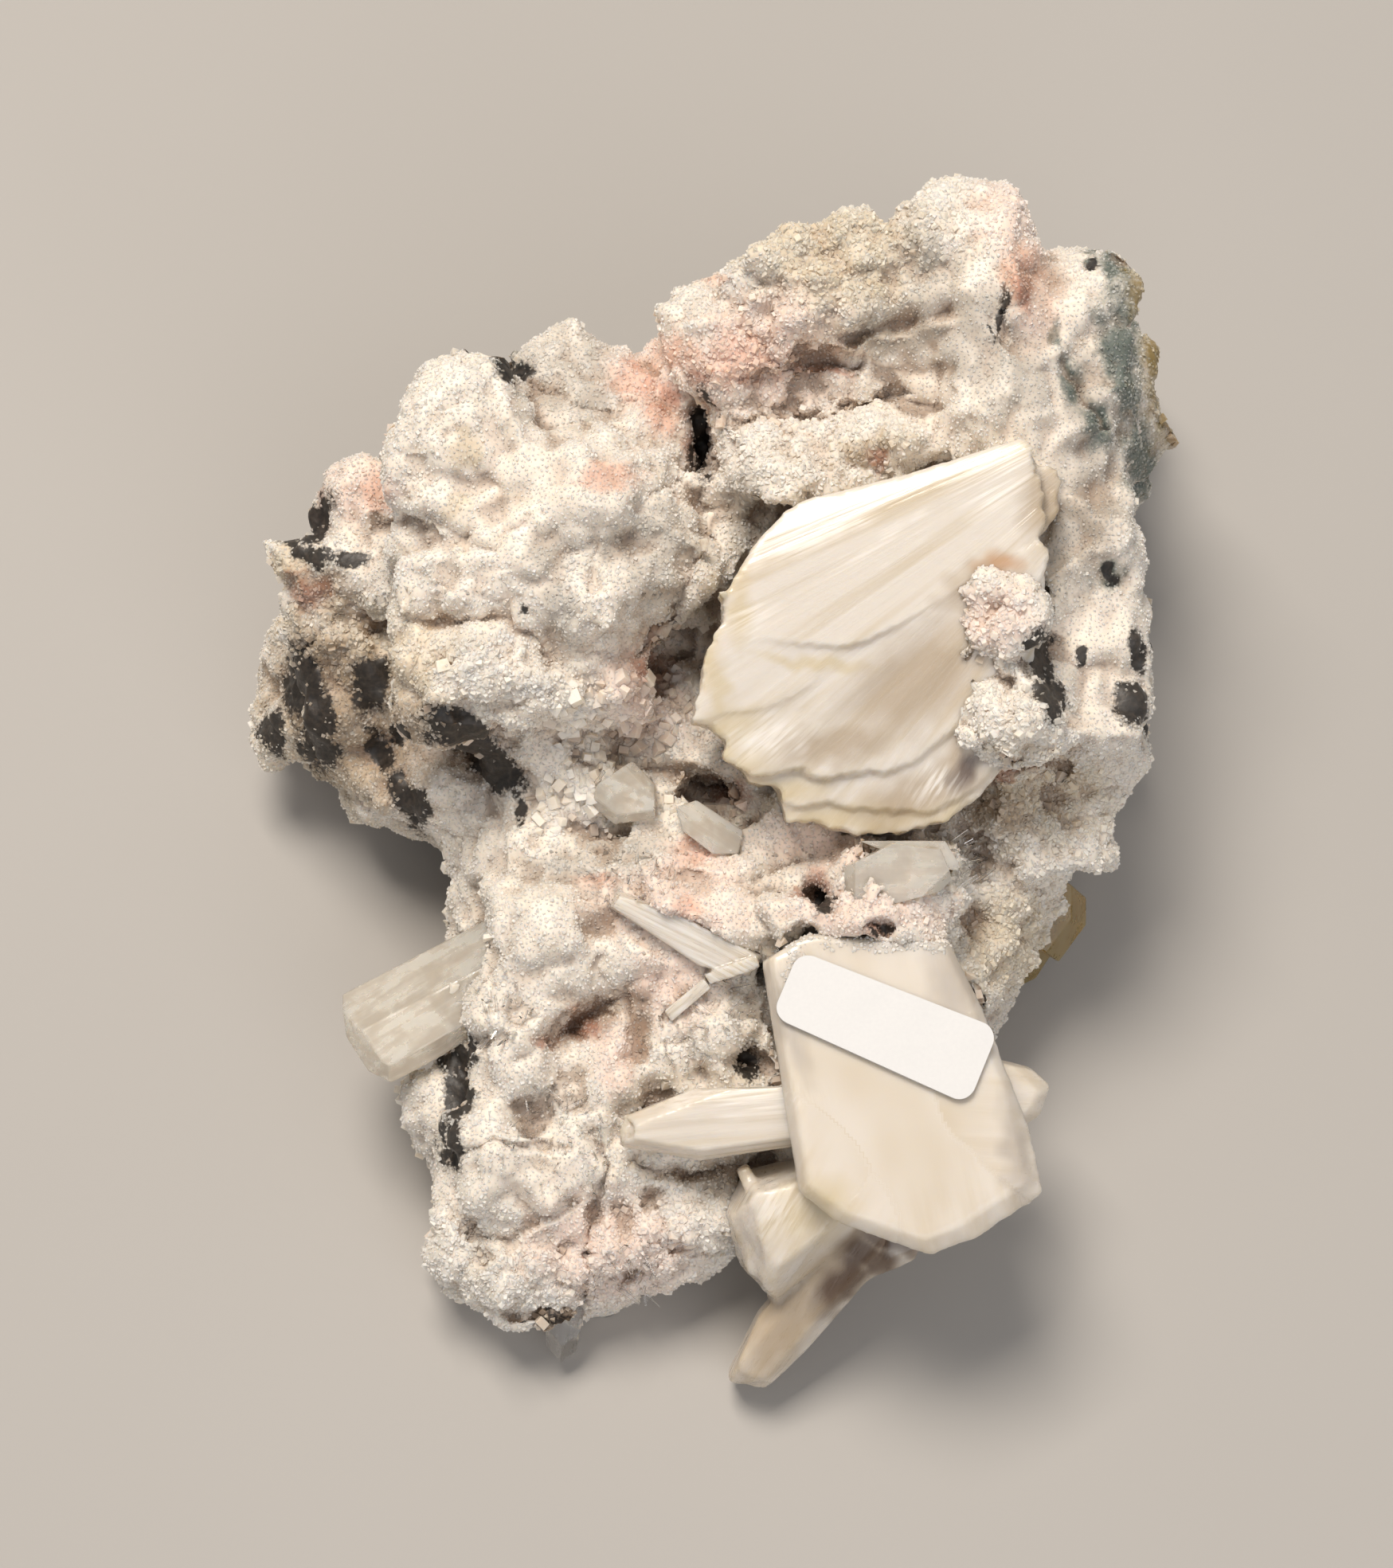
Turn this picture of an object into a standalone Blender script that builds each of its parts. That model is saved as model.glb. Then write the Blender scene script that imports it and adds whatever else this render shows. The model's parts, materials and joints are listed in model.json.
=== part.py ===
"""Stilbite specimen: zeolite crystals grown on a lump of druse-covered basalt.

The specimen stands on a flat broken base, with its display face leaning back. The visible side is
laid out in the display face's own frame: x to the right, y up the face and z out of it, with its
centre FACE_HEIGHT above the table. Sizes are in millimetres until mm() turns them into metres.
"""

import math

import bmesh
import bpy
from mathutils import Matrix, Vector

MM = 0.001

# Driving dimensions
FACE_LEAN_DEG = 25.0
FACE_HEIGHT = 25.0
CRYSTAL_GAP = 0.3
LABEL_LENGTH = 17.8
LABEL_WIDTH = 6.4
LABEL_THICKNESS = 0.3
LABEL_CORNER = 1.4
LABEL_PLACE = (14.2, -20.0, 14.6)
LABEL_TILT_DEG = 11.3
LABEL_TURN_DEG = 23.0

# How finely the rock is worked
ROCK_VOXEL = 1.0
ROCK_TRIANGLES_SHARE = 0.115
LUMP_WIDTH = 5.5
LUMP_HEIGHT = 2.6
CRUST_WIDTH = 3.4
CRUST_HEIGHT = 2.2

# Masses of rock on the display face: centre, half sizes, turn in degrees, squareness
LEFT_BLOCK = [
    ((-14, 20, -13), (12, 14, 22), (0, 0, -14), 4.5),
    ((-21.5, 28.5, 6), (5.2, 7.2, 8), (0, 0, -14), 4.0),
    ((-13, 25, 5.5), (10, 4.5, 8), (0, 0, -22), 3.5),
    ((-11.5, 34, -3), (7.5, 5.2, 8), (0, 0, -4), 3.0),
    ((-22, 17.5, 5.5), (6, 4.6, 7.5), (0, 0, 8), 3.0),
    ((-13, 17, 6), (7, 4.5, 7.5), (0, 0, 0), 3.0),
    ((-5.5, 18, 2), (5.5, 6, 7), (0, 15, -10), 2.8),
    ((-19.5, 8.5, 5), (7.5, 5, 8), (0, 0, -4), 3.2),
    ((-11, 9.5, 1), (5, 5, 7), (0, 10, 0), 2.6),
]
LEFT_SHELF = [
    ((-34, 19, -3), (7.8, 3.2, 3.4), (0, -8, -14), 2.6),
    ((-30.8, 25, -3.5), (3.8, 4, 5), (0, 0, 10), 2.6),
    ((-28, 20, -6), (5, 6, 7), (0, 0, 0), 2.8),
]
LEFT_FLANK = [
    ((-33, 9, -20), (9, 8.5, 9), (0, -25, -8), 3.0),
    ((-31, 11, -10), (5, 7, 9), (0, -35, -6), 3.0),
    ((-27, 1.5, -14), (8, 5.5, 8), (0, -20, -20), 3.0),
    ((-20, -2.5, -10), (6, 4.5, 8), (0, -10, -25), 2.8),
]
UPPER_BLOCK = [
    ((17, 33, -14), (14, 13, 21), (0, 0, 18), 4.5),
    ((0.8, 37, 3), (4.6, 6.2, 8), (0, 0, 14), 2.8),
    ((9.5, 41.5, 4), (7.5, 6.5, 8), (0, 0, 22), 3.0),
    ((21.5, 43.5, 3), (5.8, 8.2, 9), (0, 0, -6), 3.2),
    ((24, 33, 4), (5, 9, 8), (0, 0, 4), 3.4),
    ((9.5, 28, 2.5), (9.5, 3.4, 8), (0, 0, 6), 4.0),
    ((2.5, 21.5, -4), (3, 6, 8), (0, 0, 0), 3.0),
]
RIGHT_WALL = [
    ((25, 22, -14), (9, 26, 20), (0, 6, 2), 4.0),
    ((29, 36, 1), (6.5, 11, 9), (0, 14, 2), 3.4),
    ((30.5, 14, 1), (5.5, 12, 9), (0, 14, 0), 3.6),
    ((23.6, 13.6, 12), (4.0, 4.2, 5), (0, 0, 0), 2.6),
    ((25.6, 5.6, 8.5), (5.0, 3.9, 6), (0, 0, 0), 2.8),
    ((34.3, 7.5, 0), (3.8, 6.8, 8), (0, 8, -8), 2.8),
]
RIGHT_TERRACES = [
    ((24, 0, -14), (9, 9, 12), (0, 0, 0), 3.0),
    ((20, -12, -12), (7, 9, 11), (0, 0, 0), 3.0),
    ((27.6, -0.8, 1.5), (3.8, 3.2, 5), (0, 0, 0), 2.8),
    ((34, 1.5, -2), (3.6, 4.4, 6), (0, 0, -10), 2.8),
    ((29.2, -5.3, -2.5), (5.4, 2.8, 5.5), (0, 0, 4), 2.8),
    ((25, -10.6, -3), (4.4, 3.4, 5.5), (0, 0, 0), 2.8),
    ((23.6, -16.3, -5), (4.6, 3.4, 5.5), (0, 0, 10), 2.8),
]
VALLEY = [
    ((3, 4, -20), (20, 22, 18), (0, 0, 0), 3.0),
    ((-13.5, 0, -4), (5.5, 6.5, 7), (0, 0, 0), 2.6),
    ((-6, 5.5, -6), (5.4, 4.6, 6), (0, 0, 0), 2.6),
    ((-13, -6.5, -3), (7, 4, 6.5), (0, 0, 0), 2.6),
    ((7, -3.5, -1), (5, 3.4, 6), (0, 0, 0), 2.6),
    ((7, -7, 0), (5, 3.2, 6), (0, 0, 0), 2.6),
    ((16, -8.5, 3), (6.4, 4.6, 8.2), (0, 0, 0), 2.8),
    ((12.5, -11.4, 5), (8, 2.8, 9.4), (0, 0, 2), 3.0),
]
LOWER_BLOCK = [
    ((-9, -25, -10), (14.5, 18, 14), (0, 0, 6), 4.0),
    ((-14.5, -13, 0.5), (6, 5.5, 7.5), (0, 0, 0), 2.8),
    ((-2.5, -10.5, 1), (7.2, 4.6, 7), (0, 0, -6), 2.8),
    ((-16.5, -22.5, 0.5), (5.8, 5.4, 7.5), (0, 0, 6), 2.8),
    ((-6.8, -24.2, 1.5), (4.4, 4.2, 6.5), (0, 0, 0), 2.6),
    ((0.8, -21.8, 1.5), (4.4, 4.2, 6.5), (0, 0, 0), 2.6),
    ((-16, -33, 1), (7.4, 5.8, 8), (0, 0, 6), 3.0),
    ((-20, -38.5, -2), (4.5, 5, 6), (0, 0, 0), 2.8),
    ((-15.5, -42.5, -2.5), (7, 5.2, 7.5), (0, 0, -8), 2.8),
    ((-18, -44.5, -8), (4.5, 4, 5), (0, 0, 0), 2.6),
    ((-5, -38, -1), (7, 5.6, 7), (0, 0, 8), 2.8),
    ((-9, -41.5, -4), (5, 4, 6), (0, 0, 0), 2.8),
    ((-23.5, -28.5, -3), (3.6, 3.4, 5), (0, 0, 0), 2.6),
    ((13.5, -20.5, -2), (9, 9, 12), (0, 0, 0), 3.0),
    ((0.5, -37, -2), (4.5, 5, 7.5), (0, 0, 0), 2.8),
]

# Masses below and behind the display face, in the table's frame: x, y back, z up
FOOT = [
    ((3, 8, 12), (26, 30, 14), (0, 0, 0), 4.0),
    ((-8, 23, 19), (14, 12, 20), (0, 0, 0), 3.2),
    ((16, 33, 19), (15, 14, 20), (0, 0, 0), 3.2),
    ((-2, -16, 9), (20, 16, 10), (0, 0, 0), 3.4),
]
SIDE_KNOB = [
    ((37, 51, 14), (5, 7.5, 8), (0, 0, 0), 2.4),
    ((37.8, 42, 12), (5, 7, 8), (0, 0, 0), 2.6),
]
HIDDEN_SIDES = [
    ((-17, 33, 22), (7, 5.5, 12), (0, 0, 10), 2.6),
    ((2, 37, 10), (10, 6, 9), (0, 0, -8), 2.6),
    ((21, 46, 22), (8, 5.5, 13), (0, 8, 0), 2.6),
    ((35.5, 18, 16), (4.5, 9, 9), (0, 0, 0), 2.6),
    ((28, 0, 9), (5, 8, 9), (0, 0, 12), 2.6),
    ((34, 30, 28), (3.5, 6, 7), (0, 0, 0), 2.6),
]

# Hollows cut in the display face: centre, half sizes, turn in degrees
HOLLOWS = [
    ((-0.8, 29, 5), (1.5, 4.6, 10), (0, 0, 8)),
    ((-4, 11, 0), (4.6, 2.6, 6), (0, 0, 35)),
    ((-0.5, -0.8, -2), (3.4, 2.2, 5), (0, 0, 25)),
    ((9.8, 34.8, 11), (4.5, 1.2, 5), (0, 0, -6)),
    ((15, 38.5, 13.5), (5.5, 2.6, 4.5), (0, 0, 8)),
    ((9, 31.6, 11), (10, 0.9, 4.5), (0, 0, 5)),
    ((14, 25.5, 10), (2.4, 1.3, 4), (0, 0, 10)),
    ((9.0, -9.6, 9), (1.9, 1.6, 7), (0, 0, -20)),
    ((13.8, -12.0, 13), (1.2, 0.9, 5), (0, 0, 0)),
    ((-11.2, -20.7, 8), (3.6, 2.2, 5), (0, 0, 25)),
    ((3.1, -23.8, 7), (1.6, 1.6, 6), (0, 0, 0)),
    ((-22.5, -1, 2), (5, 2.4, 5), (0, 0, -20)),
    ((-29, 13.5, 1), (3, 2, 6), (0, 0, -20)),
    ((-20.5, 13, 14), (5, 0.9, 2.6), (0, 0, -2)),
    ((-16, 21.6, 14), (7, 0.8, 2.2), (0, 0, 6)),
]


def mm(*values):
    """A point or a size in metres from millimetres."""
    return Vector(values) * MM


def turned(degrees):
    """A rotation matrix from turns about x, y and z in degrees, made in that order."""
    x, y, z = (math.radians(angle) for angle in degrees)
    return Matrix.Rotation(z, 4, "Z") @ Matrix.Rotation(y, 4, "Y") @ Matrix.Rotation(x, 4, "X")


FACE_TO_TABLE = Matrix.Translation(mm(0, 0, FACE_HEIGHT)) @ turned((FACE_LEAN_DEG, 0, 0))


def clear_scene():
    for obj in list(bpy.data.objects):
        bpy.data.objects.remove(obj)


def new_collection(name):
    collection = bpy.data.collections.new(name)
    bpy.context.scene.collection.children.link(collection)
    return collection


def material(name, colour, roughness, alpha=1.0):
    """A Principled material; metallic stays 0, because the specimen is all mineral and paper."""
    made = bpy.data.materials.new(name)
    made.use_nodes = True
    shader = made.node_tree.nodes["Principled BSDF"]
    shader.inputs["Base Color"].default_value = (*colour, 1.0)
    shader.inputs["Roughness"].default_value = roughness
    shader.inputs["Metallic"].default_value = 0.0
    shader.inputs["Alpha"].default_value = alpha
    made.diffuse_color = (*colour, alpha)
    return made


def object_from(bm, name, collection, finish=None, parent=None):
    mesh = bpy.data.meshes.new(name)
    bmesh.ops.recalc_face_normals(bm, faces=bm.faces)
    bm.to_mesh(mesh)
    bm.free()
    obj = bpy.data.objects.new(name, mesh)
    collection.objects.link(obj)
    if finish:
        mesh.materials.append(finish)
    obj.parent = parent
    return obj


def as_helper(obj):
    obj.hide_render = True
    obj.display_type = "WIRE"
    return obj


# Rock
def add_mass(bm, centre, half_sizes, turn, squareness, detail=3):
    """Adds a rounded block: a ball whose points are moved out towards the sides of its box."""
    made = bmesh.ops.create_icosphere(bm, subdivisions=detail, radius=1.0)
    place = Matrix.Translation(mm(*centre)) @ turned(turn) @ Matrix.Diagonal((*mm(*half_sizes), 1.0))
    for vertex in made["verts"]:
        reach = sum(abs(value) ** squareness for value in vertex.co) ** (1.0 / squareness)
        vertex.co = place @ (vertex.co / reach)
    return made["verts"]


def displace(obj, name, kind, width, height, contrast=1.0):
    """Pushes the rock's surface in and out by a procedural texture of that width, in millimetres."""
    texture = bpy.data.textures.new(name, kind)
    texture.noise_scale = width * MM
    texture.contrast = contrast
    modifier = obj.modifiers.new(name, "DISPLACE")
    modifier.texture = texture
    modifier.texture_coords = "LOCAL"
    modifier.strength = height * MM
    modifier.mid_level = 0.5


def cut(obj, name, collection):
    modifier = obj.modifiers.new(name, "BOOLEAN")
    modifier.operation = "DIFFERENCE"
    modifier.solver = "EXACT"
    modifier.operand_type = "COLLECTION"
    modifier.collection = collection


def skin_over(obj, name, worn):
    """Joins everything that overlaps under one new skin, and wears its edges that many times."""
    remesh = obj.modifiers.new(name, "REMESH")
    remesh.mode = "VOXEL"
    remesh.voxel_size = ROCK_VOXEL * MM
    soften = obj.modifiers.new(f"{name}, worn", "SMOOTH")
    soften.factor = 0.4
    soften.iterations = worn


def make_rock(part, face, finish, hollows, table_top, sockets):
    bm = bmesh.new()
    left = LEFT_BLOCK + LEFT_SHELF + LEFT_FLANK
    right = UPPER_BLOCK + RIGHT_WALL + RIGHT_TERRACES
    for mass in left + right + VALLEY + LOWER_BLOCK:
        add_mass(bm, *mass)
    for mass in FOOT + SIDE_KNOB + HIDDEN_SIDES:
        standing = add_mass(bm, *mass)
        bmesh.ops.transform(bm, matrix=FACE_TO_TABLE.inverted(), verts=standing)
    rock = object_from(bm, "matrix", part, finish, face)
    skin_over(rock, "one skin", worn=2)
    displace(rock, "lumps", "CLOUDS", LUMP_WIDTH, LUMP_HEIGHT * 2)
    displace(rock, "crust", "VORONOI", CRUST_WIDTH, -CRUST_HEIGHT)
    skin_over(rock, "skin over the crust", worn=1)
    cut(rock, "hollows", hollows)
    skin_over(rock, "skin in the hollows", worn=1)
    thin_out = rock.modifiers.new("facets", "DECIMATE")
    thin_out.ratio = ROCK_TRIANGLES_SHARE
    cut(rock, "flat base", table_top)
    cut(rock, "crystal sockets", sockets)
    return rock


def make_hollows(collection, face):
    for number, (centre, half_sizes, turn) in enumerate(HOLLOWS):
        bm = bmesh.new()
        add_mass(bm, centre, half_sizes, turn, squareness=2.2, detail=2)
        as_helper(object_from(bm, f"hollow_{number}", collection, parent=face))


def make_table_top(collection):
    bm = bmesh.new()
    made = bmesh.ops.create_cube(bm, size=1.0)
    bmesh.ops.scale(bm, vec=mm(300, 300, 100), verts=made["verts"])
    bmesh.ops.translate(bm, vec=mm(0, 0, -50), verts=made["verts"])
    as_helper(object_from(bm, "below_the_table", collection))


# Crystals
def add_crystal(bm, planes, grow=0.0):
    """Adds the solid inside all the planes, each a point and an outward normal, moved out by grow."""
    one = bmesh.new()
    bmesh.ops.create_cube(one, size=240 * MM)
    for point, normal in planes:
        normal = Vector(normal).normalized()
        everything = one.verts[:] + one.edges[:] + one.faces[:]
        bmesh.ops.bisect_plane(
            one,
            geom=everything,
            plane_co=mm(*point) + normal * grow * MM,
            plane_no=normal,
            clear_outer=True,
        )
        rim = [edge for edge in one.edges if edge.is_boundary]
        bmesh.ops.edgeloop_fill(one, edges=rim)
    bmesh.ops.recalc_face_normals(one, faces=one.faces)
    made = bpy.data.meshes.new("crystal")
    one.to_mesh(made)
    one.free()
    bm.from_mesh(made)
    bpy.data.meshes.remove(made)


def slab(outline, top, thickness, slope=(0.0, 0.0), lean=0.0, bevels=()):
    """Planes of a crystal seen on its broad face, which has that height in the middle of its outline.

    The outline runs anticlockwise. The broad face rises by slope for each millimetre along x and
    y, and the sides spread downwards by lean degrees. Each bevel is a side's number, how far it
    reaches in and how far down.
    """
    middle = [sum(values) / len(outline) for values in zip(*outline)]
    upwards = Vector((-slope[0], -slope[1], 1)).normalized()
    planes = [
        ((*middle, top), upwards),
        ((*middle, top - thickness), -upwards),
    ]
    spread = math.radians(lean)
    sides = []
    for start, end in zip(outline, outline[1:] + outline[:1]):
        outward = Vector((end[1] - start[1], start[0] - end[0], 0)).normalized()
        rise = slope[0] * (start[0] - middle[0]) + slope[1] * (start[1] - middle[1])
        rim = Vector((*start, top + rise))
        sides.append((rim, outward))
        planes.append((rim, outward * math.cos(spread) + Vector((0, 0, math.sin(spread)))))
    for number, reach, depth in bevels:
        rim, outward = sides[number]
        planes.append((rim - outward * reach, outward * depth + upwards * reach))
    return planes


# Each crystal: the slabs that are grown together in it
FAN = [
    slab(
        [
            (26, 29), (7.5, 24.5), (3.5, 20.5), (0.5, 17), (0.5, 13.5),
            (7, 11.5), (12.5, 11.5), (19.5, 15.5), (28.5, 21.5), (29, 25),
        ],
        16.5, 9, (-0.05, -0.06), -6,
        ((1, 2.5, 1.2), (2, 2.5, 1.6), (3, 2.0, 1.6), (4, 2.0, 1.0), (5, 1.6, 0.8)),
    ),
    slab(
        [(27, 25.5), (2.5, 18), (-0.5, 12), (-2, 5), (10, 4.5), (20, 8), (28, 19)],
        13.6, 9, (0.0, 0.04), -6, ((1, 2, 1.2), (2, 2, 1.2), (3, 1.4, 0.9)),
    ),
    slab(
        [(27, 24), (0.5, 8), (0.3, 3.5), (3.5, 1), (14.5, 1), (20.5, 5.5), (28, 19)],
        12.4, 9, (0.02, 0.08), -6, ((1, 1.5, 1.0), (2, 1.6, 1.2), (3, 1.5, 0.9)),
    ),
    slab(
        [(27, 23), (1, 3), (3.5, 0), (8, -1.8), (18, -1), (24, 4), (28, 18)],
        10.2, 8, (0.02, 0.1), -6, ((1, 1.2, 1.0), (2, 1.2, 1.0), (3, 1.4, 0.9)),
    ),
    slab(
        [(27, 22), (6, -1.5), (11, -3.6), (19, -4), (24.5, 2), (28.5, 17)],
        8.4, 8, (0.0, 0.12), -6, ((1, 1.4, 1.2), (2, 1.4, 1.2), (3, 1.6, 1.0)),
    ),
]
BLOCK_CLUSTER = [
    slab(
        [
            (4, -15), (7.2, -34), (10.5, -36.5), (18, -39), (22, -37.5),
            (27.5, -34), (26.5, -29), (23, -19.5), (20, -13.2), (8, -12.6),
        ],
        15.5, 13, (0, -0.2), -3,
        (
            (0, 0.8, 1.6), (1, 1.4, 1.6), (2, 1.6, 1.6), (3, 2.4, 1.8),
            (4, 2.8, 1.8), (5, 1.6, 1.6), (6, 1.0, 1.4), (7, 0.8, 1.4),
        ),
    ),
    slab(
        [(7.5, -33.5), (3.5, -34.5), (2, -37), (3.5, -41.5), (5.5, -43.5), (11, -39), (12, -37.5), (11, -33)],
        11.5, 8.5, (0.1, 0.15), 8, ((2, 1.5, 2.2), (3, 1.5, 1.5), (4, 2.0, 2.5)),
    ),
    slab(
        [(16, -34), (9, -35), (4, -46), (1, -49.5), (1.5, -52.5), (4.5, -53), (8, -49.5), (14, -42)],
        6, 5, (0.05, 0.35), 0, ((2, 1.4, 1.6), (3, 1.2, 1.4), (4, 1.2, 1.6), (6, 1.2, 1.4)),
    ),
    slab([(9, -37), (13, -43), (17.5, -41), (19, -36)], 6.8, 4, (0, 0.1), 0, ((1, 1.0, 1.0),)),
    slab(
        [(21, -28.5), (26.5, -29.5), (28, -28.5), (29, -26), (27.5, -24.5), (25.5, -24), (21, -23)],
        8, 4.5, (-0.1, 0), 0, ((1, 1.0, 1.2), (2, 1.0, 1.2), (3, 1.0, 1.2)),
    ),
    slab([(2, -33), (3.6, -36), (4.6, -35.6), (3, -32.6)], 8.6, 3, (0, -0.2), 0),
]
BLADE = [
    slab(
        [(5.4, -25.5), (-1.5, -25.6), (-7.5, -28), (-8, -31), (-1, -32.2), (6.3, -31)],
        11.3, 6, (0.05, 0.1), -5, ((1, 1.2, 1.6), (2, 1.0, 1.2), (3, 1.2, 2.0), (4, 1.2, 2.2)),
    ),
]
SPLINTER = [
    slab([(-8, -9.5), (-8.5, -10.5), (-1, -15.5), (2.5, -16), (3.5, -14.5), (-3, -11)], 8.8, 3, (0.03, 0.12), 6),
    slab([(-0.9, -16.2), (-0.4, -17), (3.4, -15.2), (3.2, -14.2)], 9.2, 1.6, (0.3, 0.1), 0),
]
NEEDLE = [slab([(-4.1, -19.4), (-3.6, -20.4), (-0.4, -17.6), (-1, -16.8)], 7.6, 1.8, (0.2, 0.1), 0)]
GLASSY_LEFT = [
    slab(
        [(-18, -11), (-32.5, -18.5), (-32, -22), (-30, -25), (-28, -26), (-26, -25), (-18, -20.5)],
        4, 7.5, (0.02, -0.1), 0,
        ((0, 3.2, 3.0), (1, 1.6, 2.2), (2, 1.8, 2.0), (3, 1.6, 2.0), (5, 1.6, 2.4)),
    ),
]
GLASSY_FOOT = [
    slab(
        [(-14.8, -44), (-14.6, -49.5), (-13.4, -51), (-12, -50), (-10.8, -44)],
        1, 3.4, (0, 0.1), 0, ((1, 1.2, 1.4), (2, 1.2, 1.4)),
    ),
]
GLASSY_CENTRE = [
    slab(
        [(-10, 0), (-10.5, -2), (-8.5, -3.5), (-5, -3), (-5, 0), (-7, 2)],
        4, 5, (0.1, -0.1), 0, ((1, 0.8, 1.2), (2, 0.8, 1.2), (4, 0.8, 1.2)),
    ),
]
GLASSY_FAN = [
    slab([(-3.2, -2), (-2.6, -4), (0, -6), (2.2, -6), (2.6, -4), (-1.4, -1.4)], 5.8, 3.4, (-0.2, -0.2), 0),
]
GLASSY_RIGHT = [
    slab(
        [(11, -7), (11, -10), (14.5, -10.2), (19, -9), (20, -8), (19, -5.5), (15, -5)],
        13.4, 3.6, (0.1, 0.1), 0, ((0, 0.8, 1.2), (3, 0.8, 1.2)),
    ),
    slab([(12.5, -4.8), (12.5, -6.4), (18, -7), (20.6, -8), (20.6, -6.6), (19.5, -4.8)], 11.8, 3),
]
HONEY = [
    slab(
        [(29, -10), (28.5, -14), (32, -16.4), (34.5, -13), (34.5, -10.5), (32.5, -9)],
        -10.5, 6, (-0.1, 0.1), 0, ((2, 1.5, 2.0), (3, 1.5, 2.0)),
    ),
    slab(
        [(25, -12), (28, -19), (30, -18), (32.5, -14), (30, -10)],
        -12, 6, (0.1, 0.1), 0, ((1, 1.5, 2.0), (2, 1.5, 2.0)),
    ),
]


def make_crystals(name, blades, part, face, finish, sockets):
    """One solid of the blades that have grown together, and its slightly larger socket in the rock."""
    fused = bpy.data.collections.new(f"{name}_blades")
    crystal = None
    for number, planes in enumerate(blades):
        bm = bmesh.new()
        add_crystal(bm, planes)
        if crystal is None:
            crystal = object_from(bm, name, part, finish, face)
        else:
            as_helper(object_from(bm, f"{name}_blade_{number}", fused, parent=face))
        bm = bmesh.new()
        add_crystal(bm, planes, grow=CRYSTAL_GAP)
        as_helper(object_from(bm, f"{name}_socket_{number}", sockets, parent=face))
    if len(blades) > 1:
        bpy.context.scene.collection.children.link(fused)
        modifier = crystal.modifiers.new("grown together", "BOOLEAN")
        modifier.operation = "UNION"
        modifier.solver = "EXACT"
        modifier.operand_type = "COLLECTION"
        modifier.collection = fused
    return crystal


def make_label(part, face, finish):
    """The blank paper sticker on the large crystal: a flat outline with round corners."""
    half_length, half_width = LABEL_LENGTH / 2, LABEL_WIDTH / 2
    curve = bpy.data.curves.new("label", "CURVE")
    curve.dimensions = "2D"
    curve.fill_mode = "BOTH"
    curve.extrude = LABEL_THICKNESS / 2 * MM
    spline = curve.splines.new("POLY")
    corner_steps = 5
    points = []
    for corner, (side_x, side_y) in enumerate(((1, 1), (-1, 1), (-1, -1), (1, -1))):
        for step in range(corner_steps):
            angle = math.radians(90 * (corner + step / (corner_steps - 1)))
            points.append(
                (
                    side_x * (half_length - LABEL_CORNER) + LABEL_CORNER * math.cos(angle),
                    side_y * (half_width - LABEL_CORNER) + LABEL_CORNER * math.sin(angle),
                )
            )
    spline.points.add(len(points) - 1)
    for point, (x, y) in zip(spline.points, points):
        point.co = (*mm(x, y, 0), 1.0)
    spline.use_cyclic_u = True
    curve.materials.append(finish)
    label = bpy.data.objects.new("label", curve)
    part.objects.link(label)
    label.parent = face
    lie = turned((-LABEL_TILT_DEG, 0, 0)) @ turned((0, 0, -LABEL_TURN_DEG))
    label.matrix_local = Matrix.Translation(mm(*LABEL_PLACE)) @ lie
    return label


def main():
    clear_scene()
    part = new_collection("stilbite_specimen")
    hollows = new_collection("hollow_cutters")
    table_top = new_collection("table_cutter")
    sockets = new_collection("socket_cutters")

    druse = material("zeolite druse", (0.74, 0.66, 0.58), 0.75)
    cream = material("cream stilbite", (0.86, 0.76, 0.60), 0.35)
    glassy = material("glassy zeolite", (0.85, 0.84, 0.80), 0.1, alpha=0.6)
    honey = material("honey calcite", (0.55, 0.42, 0.18), 0.3)
    paper = material("white paper", (0.92, 0.92, 0.92), 0.6)

    face = bpy.data.objects.new("display_face", None)
    part.objects.link(face)
    face.matrix_world = FACE_TO_TABLE

    for name, blades, finish in (
        ("stilbite_fan", FAN, cream),
        ("stilbite_block", BLOCK_CLUSTER, cream),
        ("stilbite_blade", BLADE, cream),
        ("stilbite_splinter", SPLINTER, cream),
        ("stilbite_needle", NEEDLE, cream),
        ("glassy_crystal_left", GLASSY_LEFT, glassy),
        ("glassy_crystal_foot", GLASSY_FOOT, glassy),
        ("glassy_crystal_centre", GLASSY_CENTRE, glassy),
        ("glassy_fan", GLASSY_FAN, glassy),
        ("glassy_crystal_right", GLASSY_RIGHT, glassy),
        ("honey_crystal", HONEY, honey),
    ):
        make_crystals(name, blades, part, face, finish, sockets)
    make_hollows(hollows, face)
    make_table_top(table_top)
    make_rock(part, face, druse, hollows, table_top, sockets)
    make_label(part, face, paper)


main()
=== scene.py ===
# %% [markdown]
# # A stilbite specimen, in cells
# The specimen is a lump of basalt, covered with a sugary crust of tiny zeolite crystals, which is called
# druse. Large cream stilbite crystals and a few clear ones have grown on it. The solids come from the
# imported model, at their real size. This lesson gives them the surface that the eye expects: grains,
# striations, pearly lustre and clear glass. Sizes are in millimetres where nothing else is said, and MM
# turns them into metres.

import json
import math

import bmesh
import bpy
import numpy as np
from mathutils import Matrix, Vector, noise
from mathutils.bvhtree import BVHTree

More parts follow.
